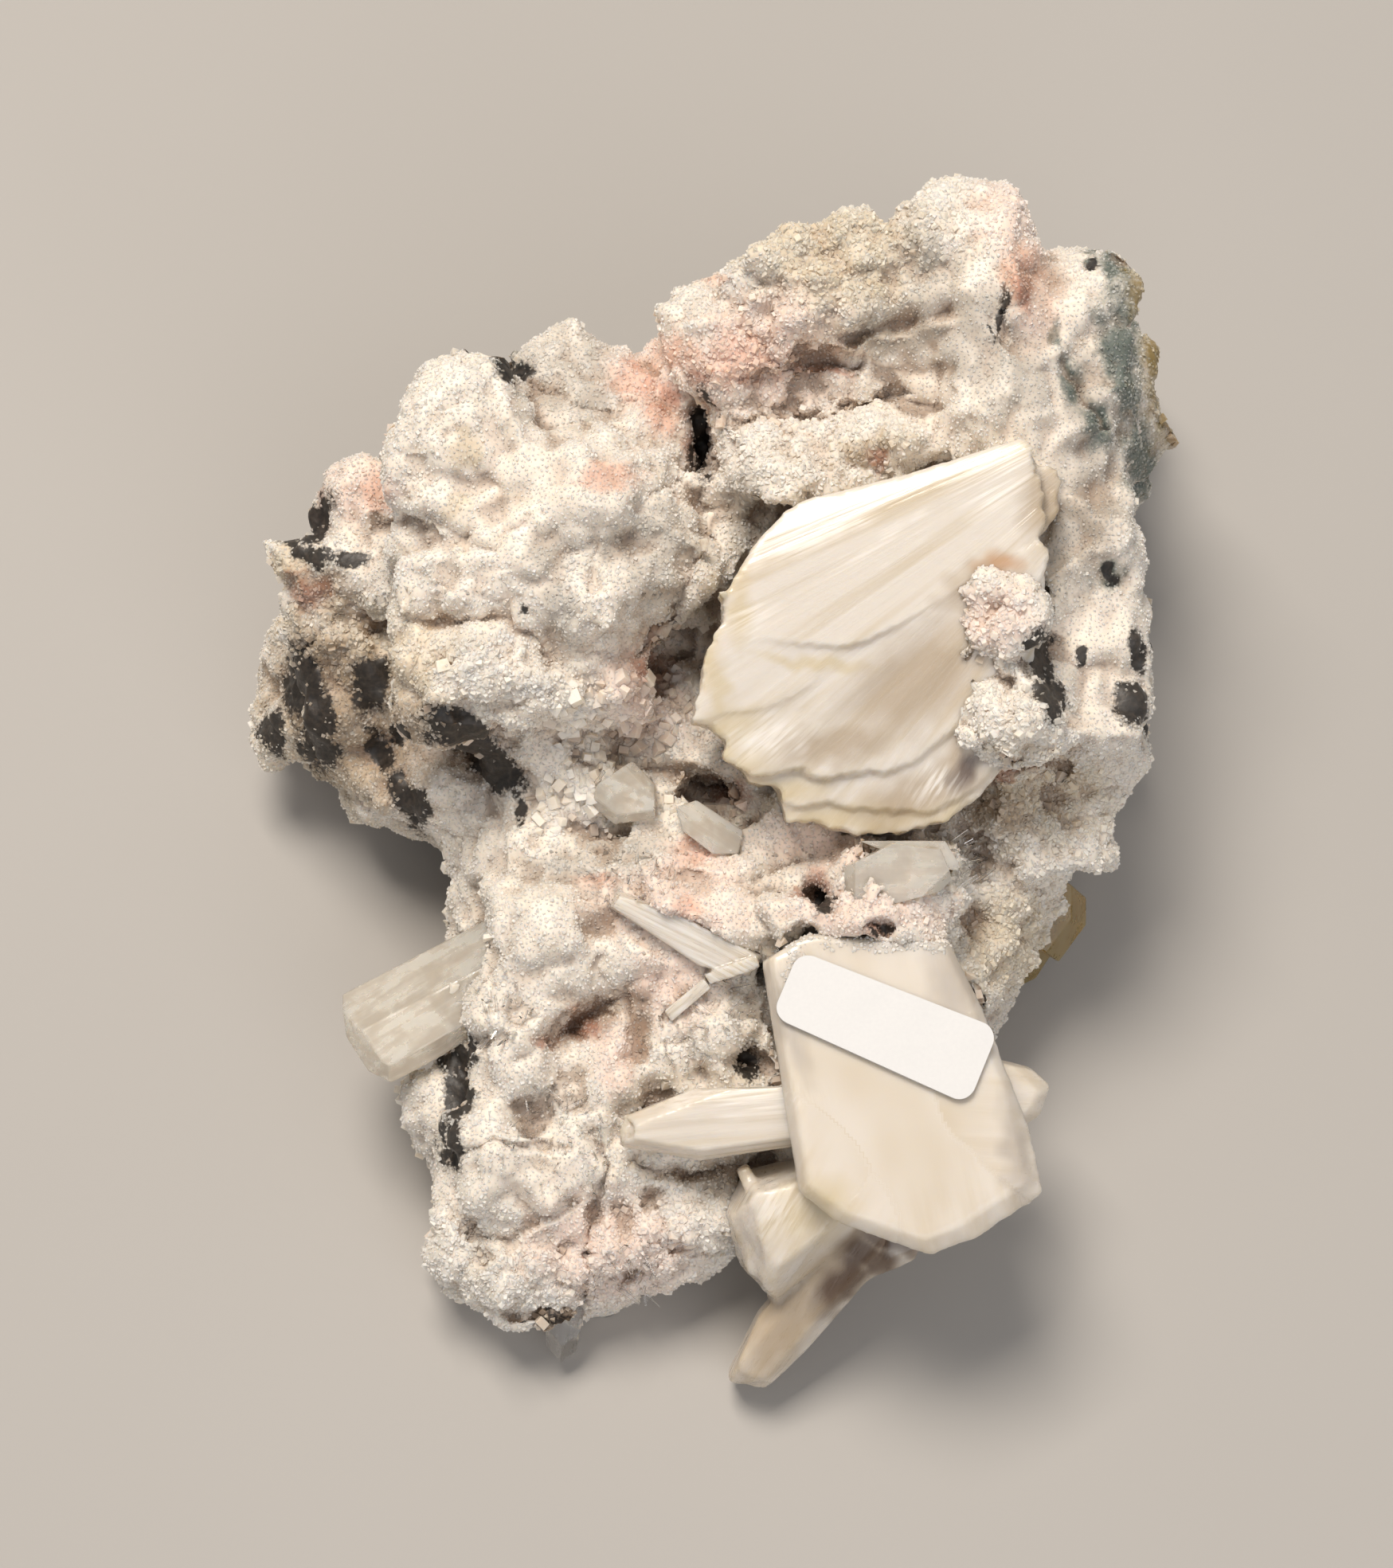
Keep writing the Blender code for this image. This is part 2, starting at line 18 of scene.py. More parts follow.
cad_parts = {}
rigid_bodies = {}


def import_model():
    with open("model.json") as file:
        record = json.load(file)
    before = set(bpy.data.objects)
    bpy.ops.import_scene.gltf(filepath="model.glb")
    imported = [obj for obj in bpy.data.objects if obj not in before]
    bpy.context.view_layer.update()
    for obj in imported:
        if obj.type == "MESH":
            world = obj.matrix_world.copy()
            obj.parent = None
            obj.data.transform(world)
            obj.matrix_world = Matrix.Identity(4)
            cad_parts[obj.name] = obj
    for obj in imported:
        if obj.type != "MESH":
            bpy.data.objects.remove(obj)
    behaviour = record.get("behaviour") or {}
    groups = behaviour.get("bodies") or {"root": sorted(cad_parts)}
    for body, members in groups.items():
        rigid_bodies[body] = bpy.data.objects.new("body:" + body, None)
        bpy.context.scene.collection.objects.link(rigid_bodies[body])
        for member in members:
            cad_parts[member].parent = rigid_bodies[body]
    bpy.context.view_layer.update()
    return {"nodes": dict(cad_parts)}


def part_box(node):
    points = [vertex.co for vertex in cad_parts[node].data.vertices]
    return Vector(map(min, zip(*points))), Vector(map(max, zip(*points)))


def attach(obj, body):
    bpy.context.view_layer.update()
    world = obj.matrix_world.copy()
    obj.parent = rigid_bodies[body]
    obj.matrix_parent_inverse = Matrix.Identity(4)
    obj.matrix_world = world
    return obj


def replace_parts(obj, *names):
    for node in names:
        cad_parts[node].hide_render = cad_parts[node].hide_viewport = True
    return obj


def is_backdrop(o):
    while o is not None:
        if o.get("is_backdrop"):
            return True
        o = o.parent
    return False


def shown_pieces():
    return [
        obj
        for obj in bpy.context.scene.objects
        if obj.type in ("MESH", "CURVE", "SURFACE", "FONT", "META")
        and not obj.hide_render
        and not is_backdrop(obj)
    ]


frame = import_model()
MM = 0.001
SHAPE_SEED = 7

# without a seed, noise_vector takes its start from the clock, and the rock would come out different each time
noise.seed_set(SHAPE_SEED)
print("CAD nodes:", ", ".join(sorted(frame["nodes"])))

# %% [markdown]
# ## The display face's own frame
# The specimen leans back a little, so its best side is a tilted plane. Marks such as a dark basalt patch
# are easiest to place on that plane, with x to the right and y up the face, in millimetres. The
# photograph was taken square to it, from about 27 cm. A point that stands out of the face is therefore
# seen a little further from the middle, and seen_from() works out where.

# %% The display face and the place it is seen from
FACE_LEAN_DEG = 25.0
FACE_HEIGHT = 25.0
VIEW_DISTANCE = 268.0
VIEW_CENTRE_X = -1.4
FACE_LEAN = Matrix.Rotation(math.radians(FACE_LEAN_DEG), 4, "X")
FACE_TO_TABLE = Matrix.Translation((0, 0, FACE_HEIGHT * MM)) @ FACE_LEAN
TABLE_TO_FACE = FACE_TO_TABLE.inverted()
FACE_OUTWARD = FACE_TO_TABLE.to_3x3() @ Vector((0, 0, 1))


def on_face(points):
    """Points on the table in metres, one to a row, as millimetres in the display face's frame."""
    turn = np.array(TABLE_TO_FACE.to_3x3())
    return (points @ turn.T + np.array(TABLE_TO_FACE.translation)) / MM


def seen_from(points):
    """Where each point is seen against the plane of the display face, in millimetres."""
    local = on_face(points)
    spread = VIEW_DISTANCE / (VIEW_DISTANCE - local[:, 2])
    return np.stack([VIEW_CENTRE_X + (local[:, 0] - VIEW_CENTRE_X) * spread, local[:, 1] * spread], axis=1)


print("the display face looks along", [round(value, 3) for value in FACE_OUTWARD])

# %% [markdown]
# ## Colours and nodes
# A colour is given as an sRGB hex value, while Blender's nodes want linear light. One function turns
# the first into the second. Another adds a node of any kind, with its settings and its links, so each
# material and each tree of Geometry Nodes reads as a list of steps.

# %% Colours and nodes


def linear(hex_colour):
    """An sRGB hex colour as Blender's linear red, green, blue and alpha."""
    parts = [int(hex_colour[i : i + 2], 16) / 255 for i in (1, 3, 5)]
    return (*[p / 12.92 if p <= 0.04045 else ((p + 0.055) / 1.055) ** 2.4 for p in parts], 1.0)


def add_node(tree, kind, inputs=None, **settings):
    """Adds one node. settings are its own properties, and inputs its sockets by name or number.

    An input that is a node is linked from its first output in use, and an output is linked as it is. Anything
    else becomes the socket's value. A Mix node's numbers are its inputs 2 and 3, and its colours 6 and 7.
    """
    made = tree.nodes.new(kind)
    for name, value in settings.items():
        setattr(made, name, value)
    for key, value in (inputs or {}).items():
        if isinstance(value, bpy.types.Node):
            value = next(output for output in value.outputs if output.enabled)
        if isinstance(value, bpy.types.NodeSocket):
            tree.links.new(value, made.inputs[key])
        else:
            made.inputs[key].default_value = value
    return made


def new_material(name):
    """An empty material and its node tree."""
    made = bpy.data.materials.new(name)
    made.use_nodes = True
    made.node_tree.nodes.clear()
    return made, made.node_tree


print("mid grey in linear light:", round(linear("#808080")[0], 3))

# %% [markdown]
# ## Floor, light and camera
# A plain pale floor and soft lamps show form without drawing attention. The main lamp hangs overhead, a
# little to the back left, as in the photograph, where ledges throw their shadows towards the viewer. The
# camera looks square onto the display face, with a 70 mm lens, which is close to a phone's view of a
# small thing once the picture is cropped. The floor, the lamps and their aim are given in metres.

# %% Floor, light and camera
FLOOR_HALF_WIDTH = 3.0
MOTTLES_PER_METRE = 9.0
CARD_DEEP = "#A9A5A0"
CARD_PALE = "#B1ADA8"
CARD_ROUGHNESS = 0.85
LENS_MM = 70.0
NEAREST_SEEN = 0.01
LAMPS_AIM = Vector((0, 0, 0.025))
ROOM_COLOUR = "#EEF0F3"
ROOM_STRENGTH = 0.30


def make_floor():
    """A wide matt floor with the faintest mottling, so that it isn't a dead flat colour."""
    bm = bmesh.new()
    bmesh.ops.create_grid(bm, x_segments=1, y_segments=1, size=FLOOR_HALF_WIDTH)
    mesh = bpy.data.meshes.new("floor")
    bm.to_mesh(mesh)
    bm.free()
    floor = bpy.data.objects.new("floor", mesh)
    bpy.context.scene.collection.objects.link(floor)
    finish, tree = new_material("matt pale card")
    place = add_node(tree, "ShaderNodeTexCoord").outputs["Object"]
    mottle = add_node(
        tree, "ShaderNodeTexNoise", {"Vector": place, "Scale": MOTTLES_PER_METRE, "Detail": 3.0}
    )
    tint = add_node(
        tree, "ShaderNodeMix", {0: mottle, 6: linear(CARD_DEEP), 7: linear(CARD_PALE)}, data_type="RGBA"
    )
    card = add_node(tree, "ShaderNodeBsdfPrincipled", {"Base Color": tint, "Roughness": CARD_ROUGHNESS})
    add_node(tree, "ShaderNodeOutputMaterial", {"Surface": card})
    mesh.materials.append(finish)
    floor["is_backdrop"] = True


def add_lamp(name, place, width, power, colour="#FFFFFF"):
    """A square area lamp that points at the specimen's middle. Its place and width are in metres."""
    lamp = bpy.data.lights.new(name, "AREA")
    lamp.size = width
    lamp.energy = power
    lamp.color = linear(colour)[:3]
    obj = bpy.data.objects.new(name, lamp)
    obj.location = place
    obj.rotation_euler = (LAMPS_AIM - Vector(place)).to_track_quat("-Z", "Y").to_euler()
    bpy.context.scene.collection.objects.link(obj)


def make_camera():
    """The camera looks square onto the display face, from the photograph's distance."""
    camera = bpy.data.objects.new("camera", bpy.data.cameras.new("camera"))
    camera.data.lens = LENS_MM
    camera.data.clip_start = NEAREST_SEEN
    target = Vector((VIEW_CENTRE_X * MM, 0, FACE_HEIGHT * MM))
    camera.location = target + FACE_OUTWARD * VIEW_DISTANCE * MM
    camera.rotation_euler = FACE_OUTWARD.to_track_quat("Z", "Y").to_euler()
    bpy.context.scene.collection.objects.link(camera)
    bpy.context.scene.camera = camera


make_floor()
add_lamp("overhead lamp", (-0.11, 0.15, 0.60), 0.24, 4.0, "#FFF6EB")
add_lamp("front fill", (0.20, -0.52, 0.46), 0.60, 1.9, "#FBF9FA")
world = bpy.data.worlds.new("soft room")
world.use_nodes = True
background = world.node_tree.nodes["Background"]
background.inputs["Color"].default_value = linear(ROOM_COLOUR)
background.inputs["Strength"].default_value = ROOM_STRENGTH
bpy.context.scene.world = world
bpy.context.scene.view_settings.view_transform = "Standard"
make_camera()

# %% [markdown]
# ## Small tools for meshes
# A CAD node is made of loose triangles, so a copy of it is merged before any work. Modifiers and Geometry
# Nodes are run and turned into a plain mesh, because the export wants plain meshes. numpy reads and
# writes many points at once.

# %% Small tools for meshes


def copy_of(node, name):
    """A new object with a merged copy of a CAD node's mesh."""
    bm = bmesh.new()
    bm.from_mesh(frame["nodes"][node].data)
    bmesh.ops.remove_doubles(bm, verts=bm.verts, dist=0.001 * MM)
    mesh = bpy.data.meshes.new(name)
    bm.to_mesh(mesh)
    bm.free()
    made = bpy.data.objects.new(name, mesh)
    bpy.context.scene.collection.objects.link(made)
    return made


def settle(obj):
    """Runs an object's modifiers once and keeps the result as its own plain mesh."""
    graph = bpy.context.evaluated_depsgraph_get()
    mesh = bpy.data.meshes.new_from_object(
        obj.evaluated_get(graph), preserve_all_data_layers=True, depsgraph=graph
    )
    obj.modifiers.clear()
    old = obj.data
    obj.data = mesh
    bpy.data.meshes.remove(old)
    mesh.name = obj.name


def run_tree(obj, tree, values):
    """Runs a Geometry Nodes tree on an object, with its inputs given by name, and settles it."""
    modifier = obj.modifiers.new(tree.name, "NODES")
    modifier.node_group = tree
    for item in tree.interface.items_tree:
        if item.in_out == "INPUT" and item.name in values:
            modifier[item.identifier] = values[item.name]
    settle(obj)


def points_of(mesh):
    """The mesh's points, one to a row."""
    flat = np.empty(len(mesh.vertices) * 3, np.float32)
    mesh.vertices.foreach_get("co", flat)
    return flat.reshape(-1, 3).astype(float)


def set_points(mesh, points):
    """Moves the mesh's points to new places."""
    mesh.vertices.foreach_set("co", points.astype(np.float32).ravel())
    mesh.update()


def normals_of(mesh):
    """The outward direction at each point of the mesh, one to a row."""
    flat = np.empty(len(mesh.vertices) * 3, np.float32)
    mesh.vertex_normals.foreach_get("vector", flat)
    return flat.reshape(-1, 3).astype(float)


def store(mesh, name, values):
    """Keeps one number, or one vector, for each point of the mesh under a name."""
    kind, key = ("FLOAT_VECTOR", "vector") if values.ndim == 2 else ("FLOAT", "value")
    found = mesh.attributes.get(name) or mesh.attributes.new(name, kind, "POINT")
    found.data.foreach_set(key, values.astype(np.float32).ravel())


def smoothstep(values, low, high):
    """0 at low and before it, 1 at high and past it, with a soft rise between them."""
    share = np.clip((values - low) / (high - low), 0, 1)
    return share * share * (3 - 2 * share)


def wander(points, width, reach):
    """A smooth random shift for each point, of up to about reach, that changes over width."""
    return np.array([noise.noise_vector(Vector(p) / width) for p in points]) * reach


def distance_to_line(places, line):
    """Each place's distance to the nearest spot of a line through the given points."""
    nearest = np.full(len(places), np.inf)
    for start, end in zip(line, line[1:]):
        along = np.subtract(end, start)
        share = np.clip((places - start) @ along / (along @ along), 0, 1)
        nearest = np.minimum(nearest, np.linalg.norm(places - start - share[:, None] * along, axis=1))
    return nearest


def painted(seen, patches):
    """How deep each seen point lies in any patch: 1 in its inner half, a half at its edge, 0 outside.

    A patch is an ellipse: its middle, its half sizes and, where it is turned, its turn in degrees.
    """
    depth = np.zeros(len(seen))
    for x, y, half_width, half_height, *turn in patches:
        angle = math.radians(sum(turn))
        cosine, sine = math.cos(angle), math.sin(angle)
        aside, up = seen[:, 0] - x, seen[:, 1] - y
        along, across = aside * cosine + up * sine, up * cosine - aside * sine
        depth = np.maximum(depth, np.clip(1.5 - np.hypot(along / half_width, across / half_height), 0, 1))
    return depth


def above_table(mesh):
    """Lifts every point that lies under the table's level up to it."""
    points = points_of(mesh)
    points[:, 2] = np.maximum(points[:, 2], 0.0)
    set_points(mesh, points)


def triangles_in(obj):
    """How many triangles an object's mesh has."""
    obj.data.calc_loop_triangles()
    return len(obj.data.loop_triangles)


print("tools ready")

# %% [markdown]
# ## Stilbite: which way the fibres run
# Stilbite grows as sheaves of thin plates. A sheaf's sides show fine lines along its length, its broad
# face is pearly, and its free end is a row of small steps, one for each bundle of plates. So each crystal
# needs to know which way its fibres run. A block's fibres run along a line, and the fan's spread from a
# waist beyond its right end. Each point's place along, across and through the fibres is worked out once,
# so that the shape and the finish use the same lines.

# %% Stilbite: which way the fibres run
FIBRE_LINES = {
    "stilbite_block": [
        ((13, -14), (18.5, -38)),
        ((9.5, -34), (4.5, -42.5)),
        ((12.5, -36), (2.5, -52)),
        ((21, -26), (29, -26.5)),
    ],
    "stilbite_blade": [((6.3, -28), (-8, -29.5))],
    "stilbite_splinter": [((3, -15.5), (-8.2, -10))],
    "stilbite_needle": [((-0.7, -17.2), (-3.8, -19.9))],
}
FAN_WAIST = (40.5, 34.5)
FAN_RIM_RADIUS = 38.0
NEXT_LINE_SHIFT = 17.0


def fan_fibres(flat):
    """Along and across the fan's fibres, and their direction, for places on the display face."""
    out = flat - np.array(FAN_WAIST)
    radius = np.hypot(out[:, 0], out[:, 1])
    return radius, np.arctan2(out[:, 1], -out[:, 0]) * FAN_RIM_RADIUS, out / radius[:, None]


def line_fibres(flat, lines):
    """The same for a crystal whose fibres run along lines. Each place follows the line that is nearest to it.

    The places across are shifted from line to line, so that no two sheaves show the same pattern.
    """
    best = np.full(len(flat), np.inf)
    along, across, way = np.zeros(len(flat)), np.zeros(len(flat)), np.zeros((len(flat), 2))
    for number, (start, end) in enumerate(lines):
        near = distance_to_line(flat, (start, end)) < best
        best[near] = distance_to_line(flat[near], (start, end))
        axis = np.subtract(end, start) / np.linalg.norm(np.subtract(end, start))
        along[near] = (flat[near] - start) @ axis
        across[near] = (flat[near] - start) @ np.array([-axis[1], axis[0]]) + number * NEXT_LINE_SHIFT
        way[near] = axis
    return along, across, way


def fibres_of(points, node):
    """Each point's place along, across and through the fibres, in millimetres, and their direction."""
    local = on_face(points)
    flat = local[:, :2]
    along, across, way = fan_fibres(flat) if node == "stilbite_fan" else line_fibres(flat, FIBRE_LINES[node])
    direction = np.column_stack([way, np.zeros(len(way))]) @ np.array(FACE_TO_TABLE.to_3x3()).T
    return np.column_stack([along, across, local[:, 2]]), direction


def fibre_noise(fibre, width, length, seed):
    """Noise that changes over width across the fibres and over length along them, from about -1 to 1."""
    sized = fibre / np.array([length, width, width]) + seed
    return np.array([noise.noise(Vector(p)) for p in sized])


print("crystals with fibres:", ["stilbite_fan", *FIBRE_LINES])

# %% [markdown]
# ## The fan's plates
# Seen on its broad face, the fan is a few plates, each a little lower than the one above it, with thin
# edges. It is made as a field of heights over the display face. Inside a plate's outline the surface
# follows the plate's plane, and where plates overlap the first in the list shows. The fibres shift every
# outline in and out, bundle by bundle, which makes the jagged free ends, and raise each bundle by a hair,
# which makes the long straight lines.

# %% The fan's plates
FAN_GRID = 0.2
FAN_VOXEL = 0.25
FAN_PLATES = (
    # each plate: its plane's height at the face's middle, its rise along x and y, and its outline
    (15.1, -0.02, 0.050, (
        (22.6, 27.9), (16.7, 26.0), (7.5, 23.7), (5.9, 22.7), (4.1, 20.8), (2.6, 18.7), (1.5, 16.4),
        (0.6, 14.8), (0.5, 12.8), (2.9, 12.3), (6.9, 11.7), (10.1, 11.3), (12.4, 11.5), (15.4, 13.1),
        (19.4, 15.8), (22.6, 17.9), (26.8, 19.8), (27.6, 22.0), (27.0, 25.9), (25.9, 28.9),
    )),
    (13.7, -0.02, 0.045, (
        (28.5, 22.0), (29.2, 24.6), (28.6, 26.6), (25.5, 27.6), (23.0, 20.0), (27.2, 20.4),
    )),
    (13.76, -0.058, 0.163, (
        (0.6, 15.0), (0.5, 13.6), (-1.0, 9.0), (-1.9, 5.0), (1.0, 5.8), (4.5, 6.3), (8.0, 8.0),
        (11.0, 14.0),
    )),
    (13.2, -0.075, 0.229, (
        (26.0, 22.0), (0.6, 16.0), (0.5, 13.6), (-0.9, 9.0), (-1.6, 5.4), (1.2, 3.6), (0.4, 1.6),
        (2.7, 1.0), (5.3, 0.8), (10.3, 0.6), (14.3, 0.8), (17.0, 2.0), (19.6, 4.0), (21.0, 5.1),
        (24.0, 9.0), (28.0, 19.0),
    )),
    (12.05, -0.03, 0.2, (
        (26.0, 20.0), (1.5, 8.0), (2.2, 1.2), (5.0, -0.7), (5.5, -1.8), (9.2, -1.7), (11.5, -2.1),
        (17.5, -2.3), (19.4, -2.1), (22.2, -0.5), (24.2, 2.0), (28.0, 17.0),
    )),
    (11.45, -0.02, 0.2, (
        (26.0, 18.0), (4.0, 6.0), (5.5, -1.4), (6.4, -3.0), (8.7, -3.7), (11.9, -4.3), (15.2, -4.3),
        (17.3, -3.7), (19.6, -3.5), (22.6, -1.2), (25.0, 2.0), (28.0, 16.0),
    )),
)
FAN_UPPER_SLOPE_FROM = -18.0
FAN_UPPER_SLOPE = 0.03
# the underside's height at the face's middle, its rise along y, its least and its most
FAN_UNDERSIDE = (2.0, 0.28, 0.5, 7.5)
FAN_WEAR_ROUNDS = 4
# each noise: its width and length, and where in the endless noise it starts
BUNDLE_NOISE = (1.7, 60.0, 2.1)
THREAD_NOISE = (0.4, 30.0, 8.4)
SWAY_NOISE = (4.5, 40.0, 6.6)
BUNDLE_STEPS = 5
BUNDLE_JAG = 0.8
THREAD_JAG = 0.3
BUNDLE_RISE = 0.10
SWAY_RISE = 0.22


def inside(places, outline):
    """Which places lie inside a closed outline."""
    x, y = places[:, 0], places[:, 1]
    odd = np.zeros(len(places), bool)
    for (x0, y0), (x1, y1) in zip(outline, outline[1:] + outline[:1]):
        if y0 != y1:
            odd ^= ((y0 > y) != (y1 > y)) & (x < x0 + (y - y0) * (x1 - x0) / (y1 - y0))
    return odd


def fan_heights(flat):
    """The height of the fan's front over each place on the display face, and nan where there is no fan."""
    along, across, way = fan_fibres(flat)
    fibre = np.column_stack([along, across, np.zeros(len(flat))])
    bundles = np.round(fibre_noise(fibre, *BUNDLE_NOISE) * BUNDLE_STEPS) / BUNDLE_STEPS
    jag = BUNDLE_JAG * bundles + THREAD_JAG * fibre_noise(fibre, *THREAD_NOISE)
    sampled = flat - way * jag[:, None]
    heights = np.full(len(flat), np.nan)
    for base, rise_x, rise_y, outline in FAN_PLATES:
        plane = base + rise_x * flat[:, 0] + rise_y * flat[:, 1]
        heights = np.where(np.isnan(heights) & inside(sampled, outline), plane, heights)
    heights -= FAN_UPPER_SLOPE * np.maximum(across - FAN_UPPER_SLOPE_FROM, 0) ** 2
    heights += SWAY_RISE * fibre_noise(fibre, *SWAY_NOISE) + BUNDLE_RISE * bundles
    return heights


print("fan plates:", len(FAN_PLATES))

# %% [markdown]
# ## The fan as a solid
# A field of heights is only a sheet. A second field, the underside, closes it: each square of the grid
# gives a face on both, and each open side a wall between them. A voxel remesh and a little smoothing turn
# that into one clean solid with worn edges.

# %% The fan as a solid


def solid_between(name, xs, ys, top, bottom):
    """A closed solid between two fields of heights on a grid. Squares with a missing corner are left out."""
    rows, columns = top.shape
    there = np.isfinite(top)
    square = np.zeros((rows + 1, columns + 1), bool)
    square[1:-1, 1:-1] = there[:-1, :-1] & there[1:, :-1] & there[1:, 1:] & there[:-1, 1:]
    number = np.arange(rows * columns).reshape(rows, columns)
    low = rows * columns
    faces = []
    for i, j in np.argwhere(square):
        a, b, c, d = number[i - 1, j - 1], number[i, j - 1], number[i, j], number[i - 1, j]
        faces += [(a, b, c, d), (d + low, c + low, b + low, a + low)]
        sides = (
            (square[i - 1, j], a, d),
            (square[i + 1, j], c, b),
            (square[i, j - 1], b, a),
            (square[i, j + 1], d, c),
        )
        for joined, first, second in sides:
            if not joined:
                faces.append((first, second, second + low, first + low))
    x, y = np.meshgrid(xs, ys, indexing="ij")
    both = [np.stack([x, y, np.nan_to_num(field)], axis=-1).reshape(-1, 3) for field in (top, bottom)]
    turn = np.array(FACE_TO_TABLE.to_3x3())
    points = np.concatenate(both) * MM @ turn.T + np.array(FACE_TO_TABLE.translation)
    mesh = bpy.data.meshes.new(name)
    mesh.from_pydata(points.tolist(), [], [tuple(int(value) for value in face) for face in faces])
    made = bpy.data.objects.new(name, mesh)
    bpy.context.scene.collection.objects.link(made)
    return made


def even_net(piece, voxel, rounds):
    """Remeshes a piece evenly, and wears its edges by that many rounds of smoothing."""
    remesh = piece.modifiers.new("even net", "REMESH")
    remesh.mode = "VOXEL"
    remesh.voxel_size = voxel * MM
    worn = piece.modifiers.new("worn edges", "SMOOTH")
    worn.factor = 0.5
    worn.iterations = rounds
    settle(piece)


def make_fan(name):
    """The fan as one closed solid, from its plates to a set underside."""
    outlines = np.concatenate([outline for *_, outline in FAN_PLATES])
    low, high = outlines.min(axis=0) - 1, outlines.max(axis=0) + 1
    xs, ys = (np.arange(low[side], high[side], FAN_GRID) for side in (0, 1))
    flat = np.stack(np.meshgrid(xs, ys, indexing="ij"), axis=-1).reshape(-1, 2)
    top = fan_heights(flat)
    start, rise, least, most = FAN_UNDERSIDE
    under = np.clip(start + rise * flat[:, 1], least, most)
    piece = solid_between(name, xs, ys, top.reshape(len(xs), len(ys)), under.reshape(len(xs), len(ys)))
    even_net(piece, FAN_VOXEL, FAN_WEAR_ROUNDS)
    return piece


fan = make_fan("fan_of_blades")
print("fan:", triangles_in(fan), "triangles")

# %% [markdown]
# ## Fibre lines on the crystals
# The other stilbite crystals keep their solids' shapes, with rounder edges. On all of them the fibres
# raise fine lines along the sides, and small steps at the ends, where bundles of fibres stop at different
# lengths. Listed marks say where the stilbite is honey yellow, beige, amber or brown, where it is
# frosted white, where a greyer veil dulls it, and where a face is smooth, as it is on the large block.
# The beige and brown marks are partly painted shade, and the frosted white streaks partly painted highlights.

# %% Fibre lines on the crystals
STILBITE_MARKS = {
    "yellow": [
        (1.5, 4.8, 3.2, 1.8, 10), (2.0, 2.4, 3.0, 1.4), (14, -2.8, 9.5, 1.3, 3),
        (1.2, 19.5, 1.2, 5.0, -25), (6.0, -0.4, 3.4, 1.2), (2.5, 15.0, 1.0, 3.0),
        (0.2, 9.0, 1.0, 4.5, 12), (9, 10.6, 4.5, 0.6, -8), (8.5, -37.5, 3.5, 2.5, 30),
    ],
    # partly the stilbite's beige tone, partly painted shade where plates tilt away and on the shaded tail
    "beige": [
        (17.9, 9.0, 6.5, 3.4, 35), (22.0, 2.4, 3.4, 1.5, 50), (23.0, 17.6, 3.5, 1.6, 35),
        (29.4, 24.6, 2.2, 3.4), (11.0, 3.5, 5.0, 1.6, 10), (11.5, -41.5, 6.0, 2.6, 52),
        (18.0, -1.0, 5.0, 1.8, 15), (6.5, -47.5, 6.0, 2.2, 56),
    ],
    "amber": [(25.2, 19.4, 1.7, 0.9)],
    # painted shade with a brown tone, at the shaded root of the tail and low on the fan
    "brown": [
        (22.4, 1.2, 2.2, 0.9, 50), (13.7, -41.4, 3.6, 1.5, -30), (15.5, -39.9, 3.0, 1.0, -20),
        (11.8, -43.4, 3.8, 1.5, 52),
    ],
    "veil": [(21.4, -17.6, 2.2, 3.4, 20), (6.4, -20.5, 1.0, 5.0, 20), (26.6, -32.5, 1.2, 4.5, 10)],
    # white streaks: partly real frost, partly painted highlights along the fibres, as on the splinters
    "frost": [
        (24.8, 27.0, 3.6, 3.4, -20), (8, 22.0, 5.5, 1.8, 18), (14.5, 20.5, 5.5, 1.1, 32),
        (3.5, 14.5, 2.0, 2.4), (5, 4.2, 3.4, 1.8, 15), (3, -27.6, 8, 1.4), (6.0, -37.0, 2.6, 2.6, -15),
        (19.5, -0.2, 2, 2), (-3, -13.5, 11, 4.0, -28), (-1, -17.5, 6, 4.0, 35),
    ],
    "smooth": [(15.0, -25.5, 10.5, 17.5, 14)],
}
BEHIND_BLOCK = (-11.0, -8.0)
MARK_SHIFT_WIDTH = 1.5
MARK_SHIFT = 0.8
# how squarely a face looks along the fibres, from where it starts to be an end to where it is one
ENDS_FACE_ALONG = (0.25, 0.8)
# each noise: its width and length, and where in the endless noise it starts
BROAD_LINES = (2.2, 40.0, 3.7)
FINE_LINES = (0.7, 22.0, 9.1)
END_STEPS = (1.2, 60.0, 5.3)
STEPS_PER_UNIT = 4
LINES_ON_STEPS = 0.25
SMOOTHED_AWAY = 0.9
ROOT_LENGTH = 4.0
BLADES = (
    # node, name, voxel, rounds of smoothing, height of the lines and of the steps,
    # and how far the root end is drawn out
    ("stilbite_fan", "fan_of_blades", FAN_VOXEL, 0, 0.07, 0.25, 0.0),
    ("stilbite_block", "cream_block", 0.30, 9, 0.06, 0.2, 0.0),
    ("stilbite_blade", "short_blade", 0.20, 3, 0.16, 0.7, 1.0),
    ("stilbite_splinter", "crossed_splinters", 0.15, 3, 0.025, 0.2, 0.6),
    ("stilbite_needle", "fine_needle", 0.13, 2, 0.02, 0.15, 0.3),
)


